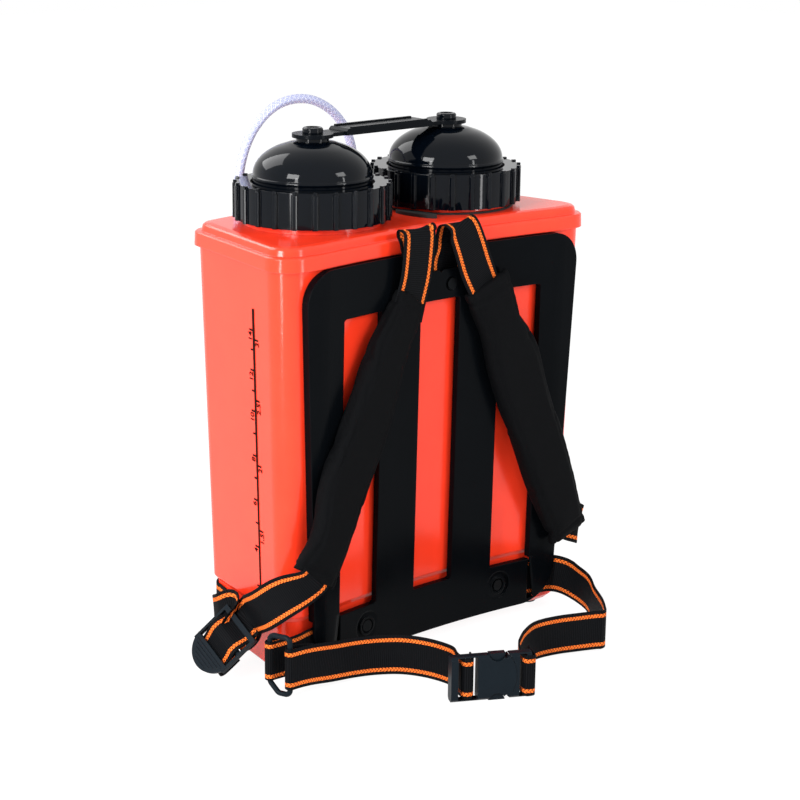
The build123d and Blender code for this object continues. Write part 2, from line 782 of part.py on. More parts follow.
def lock_threading(centre):
    """Path of the webbing through the lock: under the top bar, over the middle, under the tab."""
    path = [
        (-12, -1.9), (0, -2.1), (5, -1.0), (11.5, 2.6), (15.2, 4.2), (20.8, 4.2), (25, 2.0), (30.5, -0.8),
        (34.5, -2.6), (40, -4.4), (44.5, -7), (45.5, -10), (42, -12.6), (32, -13.2), (24, -13.2),
    ]
    return [lock_station(centre, along, out) for along, out in path]


def make_lower_web(start, centre):
    return ribbon(start + lock_threading(centre), 4, web_w, web_t)


def pad_end(edges, lean, back, reach):
    """Ribbon station at a pad's lower end, behind its middle line, past its end by a reach."""
    a, b = edges[-1]
    c, across, _ = edge_station(a, b, pad_out + lean[-1] - back)
    up = Vector(-across.Z, 0, across.X)
    return (c - up * reach, across)


left_start = [
    pad_end(left_pad_edges, left_low, 0, -14),
    pad_end(left_pad_edges, left_low, 0, -4),
    pad_end(left_pad_edges, left_low, 0, 8),
    ((-193, -78, 94), (0.45, -0.62, -0.64)),
    ((-199, -56, 77), (0.1, -0.83, -0.55)),
]
parts["left_lower_webbing"] = make_lower_web(left_start, lock_left)
parts["left_shoulder_pad"] -= parts["left_lower_webbing"]

right_web_twin = make_lower_web([
    ((-164, -79, 96), (0.86, -0.05, -0.51)),
    ((-172, -80, 88), (0.86, -0.05, -0.51)),
    ((-186, -80, 82), (0.7, -0.4, -0.6)),
    ((-196, -62, 80), (0.3, -0.75, -0.6)),
    ((-199, -40, 78), (0.05, -0.85, -0.53)),
], Vector(-lock_right.X, lock_right.Y, lock_right.Z))
parts["right_lower_webbing"] = mirror_x(right_web_twin)
parts["right_shoulder_pad"] -= parts["right_lower_webbing"]
parts["left_ladder_lock"] = make_lock(lock_left)
parts["right_ladder_lock"] = mirror_x(make_lock(Vector(-lock_right.X, lock_right.Y, lock_right.Z)))

# base strap: loops round the locks' middle bars and runs in the recess round the sides and the rear
strap_z = 38.0


def make_base_strap():
    """Strap from the left lock's middle bar, round the rear in the recess, to the right lock's."""
    inset = lip_overhang + recess_in
    top = strap_z + web_w / 2
    c, side, out, r = corners(inset + taper(top, side_draft), inset + taper(top, face_draft))[1:]
    side_way = Vector(side.Y, -side.X)
    reach = r + web_gap
    halves = []
    for sign, centre in ((-1, lock_left), (1, lock_right)):
        along = Vector(sign * 0.592, 0.391, -0.706)
        away = Vector(sign * 0.807, -0.287, 0.518)
        plan_points = [c + side * (reach + 3) + side_way * 22, c + side * reach + side_way * 6]
        plan_points += [c + (side * (1 - t) + out * t).normalized() * reach for t in (0.0, 0.33, 0.67, 1.0)]
        half = [
            (centre + along * 13 - away * 6.5, Vector(0, 0.875, 0.484)),
            (centre + along * 5 - away * 9.5, Vector(0, 0.8, 0.6)),
            ((sign * 191, centre.Y + 20, 60), (0, 0.45, 0.89)),
            ((sign * 194, centre.Y + 38, 52), (0, 0.2, 0.98)),
            ((sign * 186, centre.Y + 58, 43), (0, 0.05, 1)),
        ]
        half += [vertical(sign * p.X, p.Y, strap_z) for p in plan_points]
        for x in (112, 80, 40):
            y = rear_face_y(x, strap_z) - recess_in + web_gap
            half.append(vertical(sign * x, y, strap_z))
        halves.append(half)
    middle = [vertical(0, rear_face_y(0, strap_z) - recess_in + web_gap, strap_z)]
    return ribbon(halves[0] + middle + halves[1][::-1], 4, web_w, web_t)


parts["base_strap"] = make_base_strap()

# waist belt
belt_z = 22.3
buckle_from = Vector(-90.9, -190.8, 0)
buckle_dir = Vector(0.8802, -0.4747, 0)
buckle_in = Vector(0.4747, 0.8802, 0)
buckle_t = 12.0
buckle_h = 43.6
buckle_plane = Plane(buckle_from + buckle_in * (buckle_t / 2), x_dir=buckle_dir, z_dir=(0, 0, 1))
slot_z0 = 2.1
slot_z1 = 42.5


def bucklepoint(s, t):
    p = buckle_from + buckle_dir * s + buckle_in * (t + buckle_t / 2)
    return vertical(p.X, p.Y, belt_z)


buckle_mid = 22.3
buckle_low = 1.0
buckle_gap = 0.3
mouth_r = 32.2          # the socket's rounded mouth
mouth_s = 28.8          # its centre along the buckle
mouth_cut = 4.0         # depth of the notches where the halves meet
tab_s = 43.0            # centre of the latch windows along the buckle


def both_edges(sketch, half):
    """A prism on an along-up outline at the buckle's lower edge and its mirror at the upper one."""
    high = Pos(0, 2 * buckle_mid) * mirror(sketch, Plane.XZ)
    return upright(sketch, -half, half) + upright(high, -half, half)


def mouth(r):
    return upright(Pos(mouth_s, buckle_mid) * Circle(r), -9, 9)


def buckle_block(s0, s1):
    """Plain bevelled block of the buckle's own section."""
    h = buckle_t / 2
    return chamfer(block(s0, s1, -h, h, buckle_low, buckle_h).edges().filter_by(Axis.X), 2.4)


def edge_notches():
    """V cuts in both edges where the halves meet."""
    tip = mouth_s + 22.6
    points = [(tip - 6, buckle_low - 0.5), (tip, buckle_low + mouth_cut), (tip + 4, buckle_low - 0.5)]
    return both_edges(make_face(Polyline(*points, close=True)), 9)


def make_socket():
    """Female half: end bar, webbing slot with a middle bar, hollow body with side windows."""
    h = buckle_t / 2
    body = buckle_block(0, 62) - (block(50, 63, -9, 9, -1, 46) - mouth(mouth_r))
    body -= block(6.5, 25, -h - 1, h + 1, slot_z0, slot_z1)
    body += block(14.5, 18, -1.6, 1.6, buckle_low + 0.5, buckle_h - 0.5)
    body -= block(29, 63, -h + 2.2, h - 2.2, 4.5, 2 * buckle_mid - 4.5)
    body -= both_edges(Pos(tab_s, -1) * Circle(8), h + 1)
    return buckle_plane * (body - edge_notches())


def make_plug():
    """Male half: base with the webbing slot and a middle guide."""
    h = buckle_t / 2
    t = h - 2.2 - buckle_gap
    plug = buckle_block(50, 75) - mouth(mouth_r + buckle_gap) - edge_notches()
    plug -= block(63.5, 70.5, -h - 1, h + 1, slot_z0, slot_z1)
    return buckle_plane * (plug + block(31, 62.5, -t, t, buckle_mid - 5, buckle_mid + 5))


def make_prongs():
    """Springy arms of the male half, with latch tabs in the socket's windows."""
    t = buckle_t / 2 - 2.2 - buckle_gap
    arm = 4.5 + buckle_gap
    tab = Pos(tab_s, -1) * Circle(8 - buckle_gap) - Pos(tab_s, -10) * Rectangle(40, 20)
    tab += Pos((33 + 64) / 2, arm + 1.75) * Rectangle(31, 3.5)
    return buckle_plane * (both_edges(tab, t) & mouth(mouth_r + buckle_gap))


parts["buckle_socket"] = make_socket()
parts["buckle_plug"] = make_plug()
parts["buckle_prongs"] = make_prongs()

ring_x = -199.0
ring_y = -67.0
ring_back = Vector(ring_x, ring_y, 0)
ring_dir = Vector(0.35, -0.9367, 0)
ring_w = 21.0
ring_h = 57.0


def make_ring():
    """Rod ring: an upright back bar, an upright front bar and rounded ends, its foot on the floor."""
    plane = Plane(ring_back, x_dir=ring_dir, z_dir=ring_dir.cross(Vector(0, 0, 1)))
    z0 = rod_r + 0.2
    corners = [(0, 12), (0, ring_h), (ring_w, ring_h), (ring_w, z0), (9, z0)]
    wire = plane * FilletPolyline(*corners, close=True, radius=5.0)
    return sweep(Plane(wire @ 0, z_dir=wire % 0) * Circle(rod_r), path=wire)


parts["left_d_ring"] = make_ring()


def loop_round(bar, facing, z):
    """Stations of webbing that wraps an upright bar, open towards one direction (degrees)."""
    points = [Vector(4, web_r), Vector(2, web_r)]
    for k in range(7):
        a = radians(90 + 30 * k)
        points.append(Vector(web_r * cos(a), web_r * sin(a)))
    points += [Vector(2, -web_r), Vector(4, -web_r)]
    turned = [bar + p.rotate(Axis.Z, facing) for p in points]
    return [vertical(p.X, p.Y, z) for p in turned]


ring_front = ring_back + ring_dir * ring_w
web_r = rod_r + 0.45 + web_t / 2
belt_out = 1.0 + web_t / 2      # belt webbing centre, out from the tub's wall


def make_left_anchor():
    """Webbing clamped behind the frame's lower left corner, out through the side slot and round the ring."""
    z = boss_z - 2.4
    start = [along_face(-62, z, belt_out),
             along_face(-100, z, belt_out),
             along_face(-140, z, belt_out + 0.4),
             vertical(-158, face_y(158, z) - 3.8, z - 0.5),
             vertical(-174, face_y(158, z) - 6.0, z - 1.5),
             vertical(-188, ring_y - web_r - 0.4, z - 2.5)]
    end = [vertical(-189, ring_y + 3.1, z - 2.5), vertical(-179, ring_y + 0.5, z - 2.5)]
    return punched(ribbon(start + loop_round(ring_back, 0, z - 2.5)[::-1] + end, 4, web_w - 2, web_t))


parts["left_belt_anchor"] = make_left_anchor()


def make_left_front():
    """Front webbing of the belt: folded round the ring, then forward and into the buckle's socket."""
    x, y = ring_front.X, ring_front.Y
    top = 28.5
    head = [vertical(x + 24, y - 1.6, top - 1), vertical(x + 12, y + 2.8, top)]
    run = [vertical(x + 12, y - 4.4, top), vertical(x + 26, y - 5.0, top - 1), vertical(-146, -92.5, 25),
           vertical(-122, -95, belt_z + 1), vertical(-100, -102, belt_z), vertical(-82, -116, belt_z),
           vertical(-70, -138, belt_z), bucklepoint(9, 30), bucklepoint(10, 14), bucklepoint(11.3, 4),
           bucklepoint(12.5, -3), bucklepoint(16.2, -4.6), bucklepoint(20.2, -2.6), bucklepoint(21.4, 4),
           bucklepoint(21.6, 12)]
    return ribbon(head + loop_round(ring_front, 0, top) + run, 4, web_w, web_t)


parts["left_belt_front"] = make_left_front()


def make_right_belt():
    """Webbing from behind the frame's lower right corner, out to a fold and back to the buckle's plug."""
    z = boss_z - 2.4
    points = [along_face(62, z, belt_out),
              along_face(100, z, belt_out),
              along_face(136, z, belt_out + 0.4),
              vertical(154, face_y(154, z) - 3.6, z - 0.5),
              vertical(163, -82, z - 2),
              vertical(166, -97, z - 6),
              vertical(160, -120, belt_z + 4),
              vertical(147, -141, belt_z),
              vertical(129, -168, belt_z),
              vertical(113, -187, belt_z),
              vertical(108.8, -190.6, belt_z),
              vertical(104.4, -191.2, belt_z),
              vertical(100, -188.6, belt_z),
              vertical(84.5, -182, belt_z),
              vertical(60, -173, belt_z),
              vertical(36, -170, belt_z),
              vertical(14, -178, belt_z),
              vertical(-4.6, -190, belt_z),
              bucklepoint(71.8, 26), bucklepoint(68.6, 12), bucklepoint(67.6, 6.0),
              bucklepoint(67.4, -2), bucklepoint(69.0, -7.6), bucklepoint(73.2, -8.2),
              bucklepoint(77.0, -6.6),
              bucklepoint(77.6, 0), bucklepoint(77.4, 10), bucklepoint(77.8, 16)]
    return punched(ribbon(points, 4, web_w, web_t))


parts["right_belt"] = make_right_belt()

# outlet, hose and pump
hose_points = [
    (-92, 98), (-96, 190), (-91, 290), (-92, 392), (-86, 460), (-53, 499), (-9, 507), (30, 490), (55, 455),
    (58, 385), (48, 285), (37, 190), (40, 120), (72, 88), (114, 88), (pump_x, 120), (pump_x, 163),
]
hose_rows = [Vector(x, hose_y, z) for x, z in hose_points]


def bend_radii(rows):
    radii = []
    for a, b, c in zip(rows, rows[1:], rows[2:]):
        turn = (b - a).get_angle(c - b)
        run = min((b - a).length, (c - b).length)
        radii.append(0.45 * run / tan(radians(turn) / 2))
    return radii


def tangent_path(rows, radii):
    """Straight runs joined by tangent arcs."""
    edges = []
    last = rows[0]
    for a, b, c, r in zip(rows, rows[1:], rows[2:], radii):
        u = (b - a).normalized()
        v = (c - b).normalized()
        cut = r * tan(radians(u.get_angle(v)) / 2)
        p = b - u * cut
        q = b + v * cut
        bis = (v - u).normalized()
        centre = b + bis * hypot(r, cut)
        edges += [Line(last, p), ThreePointArc(p, centre - bis * r, q)]
        last = q
    return Wire(edges + [Line(last, rows[-1])])


radii = bend_radii(hose_rows)
hose_path = tangent_path(hose_rows, radii)
hose_section = Circle(hose_r) - Circle(hose_bore)
parts["hose"] = sweep(Plane(hose_rows[0], z_dir=hose_rows[1] - hose_rows[0]) * hose_section, path=hose_path)
print("hose radii", [round(r, 1) for r in radii])
print("hose length %.1f" % hose_path.length)
print("hose volume %.0f, section times length %.0f"
      % (parts["hose"].volume, pi * (hose_r ** 2 - hose_bore ** 2) * hose_path.length))

hose_start = Plane(hose_rows[0], z_dir=hose_rows[1] - hose_rows[0])
outlet_wall = rear_face_y(outlet_x, outlet_z)
pad_face = outlet_wall + rear_pad_out
inner_face = outlet_wall - 5.5
washer_t = 1.5


def make_elbow():
    """Outlet elbow: threaded stub through the wall, flange, turned-up barb."""
    elbow = rod_y(outlet_x, outlet_z, outlet_r, inner_face - 16, hose_y)
    elbow += rod_y(outlet_x, outlet_z, 11, pad_face + washer_t, pad_face + washer_t + 4)
    elbow += Pos(outlet_x, hose_y, outlet_z) * Sphere(outlet_r)
    rise = hose_points[0][1] - outlet_z
    elbow += hose_start * Pos(0, 0, -rise / 2) * Cylinder(5.8, rise)
    elbow += hose_start * Cylinder(hose_bore - 0.05, 18)
    elbow -= rod_y(outlet_x, outlet_z, 2, inner_face - 17, hose_y)
    elbow -= hose_start * Pos(0, 0, -rise) * Cylinder(1.8, 60, align=(Align.CENTER, Align.CENTER, Align.MIN))
    return elbow


def make_nut():
    y = inner_face
    hexagon = Plane((outlet_x, y, outlet_z), x_dir=(1, 0, 0), z_dir=(0, -1, 0)) * RegularPolygon(12, 6)
    return extrude(hexagon, 6) - rod_y(outlet_x, outlet_z, outlet_r, y - 9, y + 3)


def make_suction():
    """Slotted suction strainer pushed on the outlet's inner end."""
    end = inner_face - 16
    tube = rod_y(outlet_x, outlet_z, 10.5, end - 30, inner_face - 7)
    tube -= rod_y(outlet_x, outlet_z, 9, end - 28, end)
    tube -= rod_y(outlet_x, outlet_z, outlet_r, end - 1, inner_face)
    for k in range(5):
        tube -= Pos(outlet_x, end - 25 + 5 * k, outlet_z) * Box(40, 2, 12)
    return tube


parts["outlet_elbow"] = make_elbow()
parts["outlet_nut"] = make_nut()
parts["outlet_washer"] = (rod_y(outlet_x, outlet_z, 11, pad_face, pad_face + washer_t)
                          - rod_y(outlet_x, outlet_z, outlet_r, pad_face - 1, pad_face + 3))
parts["suction_strainer"] = make_suction()
parts["hose_clamps"] = Compound([
    hose_start * ring(0, 0, 2, hose_r + 1.2, hose_r, 5),
    ring(pump_x, hose_y, hose_points[-1][1] - 8, hose_r + 1.2, hose_r, 5)])


def make_hose_clip(x, z):
    """Screwed clip with an open ring for the hose."""
    y = rear_face_y(x, z) + rear_pad_out
    clip = block(x - 7, x + 7, y, y + 3, z - 8, z + 20)
    clip += block(x - 3, x + 3, y + 1, hose_y - 5.6, z + 8, z + 20)
    clip += ring(x, hose_y, z + 8, 7.7, 5.3, 12)
    clip -= block(x - 3.6, x + 3.6, hose_y, hose_y + 12, z + 7, z + 21)
    return clip - rod_y(x, z, 2 + fit, 0, hose_y)


def make_pump_clip(x, z, bore):
    """Screwed clip with an open ring for the pump."""
    y = rear_face_y(x, z) + rear_pad_out
    clip = block(x - 8, x + 8, y, y + 4, z - 9, z + 9)
    clip += block(x + 4.5, pump_x, y, hose_y - 14, z - 7, z + 7)
    clip += ring(pump_x, hose_y, z - 7, bore + 2.8, bore, 14)
    clip -= disc(pump_x, hose_y, z - 8, bore, 16)
    clip -= block(pump_x - 8, pump_x + 8, hose_y + 5, hose_y + 30, z - 8, z + 8)
    return clip - rod_y(x, z, 2 + fit, 0, hose_y)


parts["hose_clips"] = Compound([make_hose_clip(x, z) for x, z in hose_pads])
parts["pump_clips"] = Compound([
    make_pump_clip(*pump_pads[0], grip_r), make_pump_clip(*pump_pads[1], barrel_r + 0.35)])


def make_clip_screws():
    screws = []
    for x, z in rear_pads:
        y = rear_face_y(x, z) + rear_pad_out + (4 if (x, z) in pump_pads else 3)
        screws.append(rod_y(x, z, 2, y - 10, y) + rod_y(x, z, 3.6, y, y + 1.8))
    return Compound(screws)


parts["clip_screws"] = make_clip_screws()

# trombone pump: the rear grip is clipped, the barrel slides up and down on the inner tube
tube_foot = hose_points[-1][1]
piston_z = 338.0
barrel_z = 222.0
barrel_top = 388.0
seal_h = 9.0
gland_h = 14.0


def axis_disc(z, r, h):
    return disc(pump_x, hose_y, z, r, h)


def make_inner_tube():
    """Barb, foot with the inlet valve's seat, tube and piston head."""
    tube = axis_disc(tube_foot - 10, hose_bore - 0.05, 11) + axis_disc(tube_foot, 9, 8)
    tube += axis_disc(tube_foot, tube_r, piston_z - tube_foot)
    tube += axis_disc(piston_z - 2, barrel_bore - 0.8, 2)
    tube += axis_disc(piston_z, tube_r - 2, seal_h) + axis_disc(piston_z + seal_h, barrel_bore - 0.8, 2)
    tube -= axis_disc(tube_foot - 11, 1.8, 30)
    tube -= axis_disc(tube_foot + 9, 4.6, 8)
    tube -= axis_disc(tube_foot, 3.2, piston_z + seal_h + 3 - tube_foot) - axis_disc(tube_foot, 5, 9)
    return tube


parts["pump_inner_tube"] = make_inner_tube()
parts["pump_inlet_ball"] = Pos(pump_x, hose_y, tube_foot + 9 + 4.1) * Sphere(4.0)
parts["pump_rear_grip"] = (chamfer(axis_disc(tube_foot + 8, grip_r, 44).edges(), 2)
                           - axis_disc(tube_foot, tube_r, 80))
parts["pump_piston_seal"] = (axis_disc(piston_z, barrel_bore - running, seal_h)
                             - axis_disc(piston_z - 1, tube_r - 2, seal_h + 2))


def make_barrel():
    """Sliding barrel with the outlet valve's chamber and a threaded spout."""
    barrel = axis_disc(barrel_z, barrel_r, barrel_top - barrel_z)
    barrel -= axis_disc(barrel_z - 1, barrel_bore, barrel_top - barrel_z - 17)
    barrel -= axis_disc(barrel_top - 30, 2.4, 40)
    barrel -= axis_disc(barrel_top - 14, 4.6, 9)
    barrel += axis_disc(barrel_top, 6, 10) - axis_disc(barrel_top - 1, 2.4, 12)
    return barrel


parts["pump_barrel"] = make_barrel()
parts["pump_outlet_ball"] = Pos(pump_x, hose_y, barrel_top - 14 + 4.1) * Sphere(4.0)
parts["pump_gland_nut"] = (axis_disc(barrel_z - 6, grip_r, 6)
                           + axis_disc(barrel_z - 6, barrel_bore - fit, gland_h)
                           - axis_disc(barrel_z - 7, tube_r + running, gland_h + 2))
parts["pump_front_grip"] = (chamfer(axis_disc(barrel_top - 48, grip_r + 1, 42).edges(), 2)
                            - axis_disc(barrel_z, barrel_r, 200))
nozzle_z = barrel_top + 0.4
parts["nozzle_cap"] = (chamfer(axis_disc(nozzle_z, 9, 20).edges().sort_by(Axis.Z)[-1:], 2)
                       - axis_disc(nozzle_z - 1, 6 + running, 12) - axis_disc(nozzle_z, 1.0, 30))

for name, shape in parts.items():
    export_step(shape, "parts/" + name + ".step")
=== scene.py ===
import json
import math
from functools import partial
import bpy
import numpy as np
from mathutils import Matrix, Vector


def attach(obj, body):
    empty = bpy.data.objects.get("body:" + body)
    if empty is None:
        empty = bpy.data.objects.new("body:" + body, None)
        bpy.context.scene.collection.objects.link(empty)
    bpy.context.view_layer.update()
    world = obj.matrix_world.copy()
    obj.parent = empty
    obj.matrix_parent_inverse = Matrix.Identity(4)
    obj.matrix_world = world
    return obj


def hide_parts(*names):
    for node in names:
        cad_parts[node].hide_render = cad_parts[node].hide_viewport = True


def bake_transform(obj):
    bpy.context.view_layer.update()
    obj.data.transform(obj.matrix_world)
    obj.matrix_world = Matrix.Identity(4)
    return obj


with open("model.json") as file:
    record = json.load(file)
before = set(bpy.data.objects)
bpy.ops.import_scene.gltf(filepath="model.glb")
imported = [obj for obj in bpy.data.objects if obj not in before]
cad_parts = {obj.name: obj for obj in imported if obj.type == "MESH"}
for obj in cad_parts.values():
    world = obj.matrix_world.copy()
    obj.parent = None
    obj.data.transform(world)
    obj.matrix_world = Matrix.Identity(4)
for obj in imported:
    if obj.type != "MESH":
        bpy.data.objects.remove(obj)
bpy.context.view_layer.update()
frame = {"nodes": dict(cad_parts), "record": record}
nodes = frame["nodes"]
mm = 0.001
fullTurn = 2 * math.pi
print("frame loaded")

camera = {  # metres, then degrees, then the lens and the film in millimetres
    "spot": (-1.2963, -1.4614, 0.7596), "farthest": 50, "turn": 41.89, "rise": 15.26, "roll": 0.69,
    "lens": 94.96, "film": 36,
}


def place(name, data):  # a new object in the scene
    obj = bpy.data.objects.new(name, data)
    bpy.context.scene.collection.objects.link(obj)
    return obj


def makeCamera():  # axes worked out from the turn, rise and roll angles
    turn, rise, roll = (math.radians(camera[k]) for k in ("turn", "rise", "roll"))
    back = Vector((-math.sin(turn) * math.cos(rise), -math.cos(turn) * math.cos(rise), math.sin(rise)))
    side = Vector((math.cos(turn), -math.sin(turn), 0))
    top = back.cross(side)
    right = side * math.cos(roll) + top * math.sin(roll)
    up = top * math.cos(roll) - side * math.sin(roll)
    data = bpy.data.cameras.new("camera")
    data.lens = camera["lens"]
    data.sensor_width = camera["film"]
    data.clip_end = camera["farthest"]
    obj = place("camera", data)
    turned = Matrix((right, up, back)).transposed().to_4x4()
    obj.matrix_world = Matrix.Translation(camera["spot"]) @ turned
    bpy.context.scene.camera = obj


makeCamera()


# meshes
def readPoints(mesh):
    co = np.zeros(len(mesh.vertices) * 3, np.float32)
    mesh.vertices.foreach_get("co", co)
    return co.reshape(-1, 3)


def writePoints(mesh, co):
    mesh.vertices.foreach_set("co", co.astype(np.float32).ravel())
    mesh.update()


def shadeSmooth(mesh):
    mesh.polygons.foreach_set("use_smooth", np.ones(len(mesh.polygons), bool))


def newMesh(name, points, faces, uv=None, smooth=True):
    mesh = bpy.data.meshes.new(name)
    mesh.from_pydata(points.tolist(), [], faces)
    if uv is not None:
        layer = mesh.uv_layers.new(name="flow")
        loops = np.zeros(len(mesh.loops), np.int32)
        mesh.loops.foreach_get("vertex_index", loops)
        layer.data.foreach_set("uv", uv[loops].astype(np.float32).ravel())
    if smooth:
        shadeSmooth(mesh)
    mesh.update()
    return place(name, mesh)


def unit(v):
    return v / np.linalg.norm(v, axis=-1, keepdims=True)


def runAlong(path):  # metres from the path's start, at each of its points
    return np.concatenate([[0], np.cumsum(np.linalg.norm(np.diff(path, axis=0), axis=1))])


def flowMap(along, across):  # UV of every point of a grid
    return np.stack(np.broadcast_arrays(along[:, None], across[None, :]), -1)


def gridFaces(rows, cols, wrap):  # quads between neighbouring rows, closed round when wrap is true
    i = np.arange(rows - 1)[:, None]
    j = np.arange(cols if wrap else cols - 1)[None, :]
    k = (j + 1) % cols
    return np.stack([i * cols + j, i * cols + k, (i + 1) * cols + k, (i + 1) * cols + j], -1).reshape(-1, 4)


# hose: a smooth line steered by the route's points, which are millimetres along X and Z in one plane
hose = {
    "width": 0.009, "around": 28, "plane": 0.118, "fineness": 24,
    "route": [
        (-92, 98), (-96, 190), (-91, 290), (-92, 392), (-86, 460), (-53, 499), (-9, 507), (30, 490),
        (55, 455), (58, 385), (48, 285), (37, 190), (40, 120), (72, 88), (114, 88), (146, 120), (146, 163),
    ],
}


def hosePath():
    line = bpy.data.curves.new("hoseLine", "CURVE")
    line.dimensions = "3D"
    line.resolution_u = hose["fineness"]
    spline = line.splines.new("NURBS")
    spline.points.add(len(hose["route"]) - 1)
    for point, (x, z) in zip(spline.points, hose["route"]):
        point.co = (x * mm, hose["plane"], z * mm, 1)
    spline.order_u = 3
    spline.use_endpoint_u = True
    carrier = place("hoseLine", line)
    mesh = bpy.data.meshes.new_from_object(carrier)
    path = readPoints(mesh).astype(float)
    bpy.data.objects.remove(carrier)
    bpy.data.meshes.remove(mesh)
    return path


def makeHose():
    path = hosePath()
    ahead = unit(np.gradient(path, axis=0))
    side = np.tile(np.array([0.0, 1.0, 0.0]), (len(path), 1))  # never turns, as the route lies in one plane
    up = np.cross(ahead, side)
    turn = np.linspace(0, fullTurn, hose["around"] + 1)
    ring = side[:, None] * np.cos(turn)[None, :, None] + up[:, None] * np.sin(turn)[None, :, None]
    points = (path[:, None] + ring * (hose["width"] / 2)).reshape(-1, 3)
    along = runAlong(path)
    faces = gridFaces(len(path), len(turn), False)[:, ::-1]
    obj = newMesh("hoseTube", points, faces.tolist(), flowMap(along, turn / fullTurn).reshape(-1, 2))
    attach(obj, "tank")
    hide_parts("hose")
    return obj


hoseTube = makeHose()
print("hose made")


# shader nodes
def feed(tree, node, inputs):  # each input takes a value or another node's socket
    for key, value in inputs.items():
        if isinstance(value, bpy.types.NodeSocket):
            tree.links.new(value, node.inputs[key])
        else:
            node.inputs[key].default_value = value


def put(tree, kind, inputs=None, **settings):
    node = tree.nodes.new(kind)
    for key, value in settings.items():
        setattr(node, key, value)
    feed(tree, node, inputs or {})
    return node


def calc(tree, what, *values):  # one Math node
    return put(tree, "ShaderNodeMath", dict(enumerate(values)), operation=what).outputs[0]


def blendColour(tree, factor, a, b):  # of a Mix node, inputs 6 and 7 and output 2 are colours
    a, b = ((*v, 1) if isinstance(v, tuple) else v for v in (a, b))
    return put(tree, "ShaderNodeMix", {0: factor, 6: a, 7: b}, data_type="RGBA").outputs[2]


def band(tree, value, low, high, soft):  # 1 between low and high, falling off over soft
    ramp = partial(put, tree, "ShaderNodeMapRange", interpolation_type="SMOOTHSTEP")
    up = ramp({0: value, 1: low - soft, 2: low})
    down = ramp({0: value, 1: high, 2: high + soft, 3: 1, 4: 0})
    return calc(tree, "MULTIPLY", up.outputs[0], down.outputs[0])


def newGroup(name, inputs, outputs):  # an input without a value is a vector, everything else a number
    tree = bpy.data.node_groups.new(name, "ShaderNodeTree")
    for label, value in inputs.items():
        kind = "NodeSocketVector" if value is None else "NodeSocketFloat"
        socket = tree.interface.new_socket(name=label, in_out="INPUT", socket_type=kind)
        if value is not None:
            socket.default_value = value
    for label in outputs:
        tree.interface.new_socket(name=label, in_out="OUTPUT", socket_type="NodeSocketFloat")
    return tree, tree.nodes.new("NodeGroupInput").outputs, tree.nodes.new("NodeGroupOutput")


patterns = {  # pitches and widths in metres, the rest are shares
    "moulded": {"size": 40.0, "fine": 900.0, "detail": 3.0, "fineDetail": 2.0},
    "edge": {"reach": 0.0015, "flat": 0.99, "turned": 0.75},
    "webbing": {
        "rib": 0.0019, "half": 0.0195, "yarn": 0.0011,
        "lines": ((0.0042, 0.0), (0.0059, 0.5)),  # distance from the edge, and how far its links are shifted
        "lineHalf": 0.0009, "lineSoft": 0.15,
        "link": 0.0031, "lean": 0.45, "linkOn": (0.14, 0.76), "linkSoft": 0.1,
        # the two shares after the heights set how much the threads and ribs paint shade into the cloth colour
        "threadHeight": 0.35, "ribHeight": 0.8, "stitchHeight": 2.0, "threadPaintedShade": 0.3, "ribPaintedShade": 0.7,
    },
    "pad": {"pitch": 0.0011, "slope": 0.45},
    "braid": {"yarns": 5, "lay": 0.028, "on": (0.42, 0.58), "soft": 0.06},
}


def grainGroup():  # slow mottle and fine grain of a moulded surface
    pattern = patterns["moulded"]
    inputs = {"Vector": None, "Size": pattern["size"], "Fine": pattern["fine"]}
    tree, given, out = newGroup("mouldedGrain", inputs, ["Mottle", "Grain"])
    noise = partial(put, tree, "ShaderNodeTexNoise")
    slow = noise({"Vector": given[0], "Scale": given[1], "Detail": pattern["detail"]})
    fine = noise({"Vector": given[0], "Scale": given[2], "Detail": pattern["fineDetail"]})
    feed(tree, out, {0: slow.outputs[0], 1: fine.outputs[0]})
    return tree


def edgeGroup():  # 1 where the surface turns a corner: the rounded normal leaves the true one
    pattern = patterns["edge"]
    tree, given, out = newGroup("turnedEdges", {"Reach": pattern["reach"]}, ["Edge"])
    rounded = put(tree, "ShaderNodeBevel", {"Radius": given[0]}, samples=4)
    true = put(tree, "ShaderNodeNewGeometry")
    both = {0: rounded.outputs[0], 1: true.outputs["True Normal"]}
    dot = put(tree, "ShaderNodeVectorMath", both, operation="DOT_PRODUCT")
    levels = {0: dot.outputs["Value"], 1: pattern["flat"], 2: pattern["turned"], 3: 0, 4: 1}
    feed(tree, out, {0: put(tree, "ShaderNodeMapRange", levels).outputs[0]})
    return tree


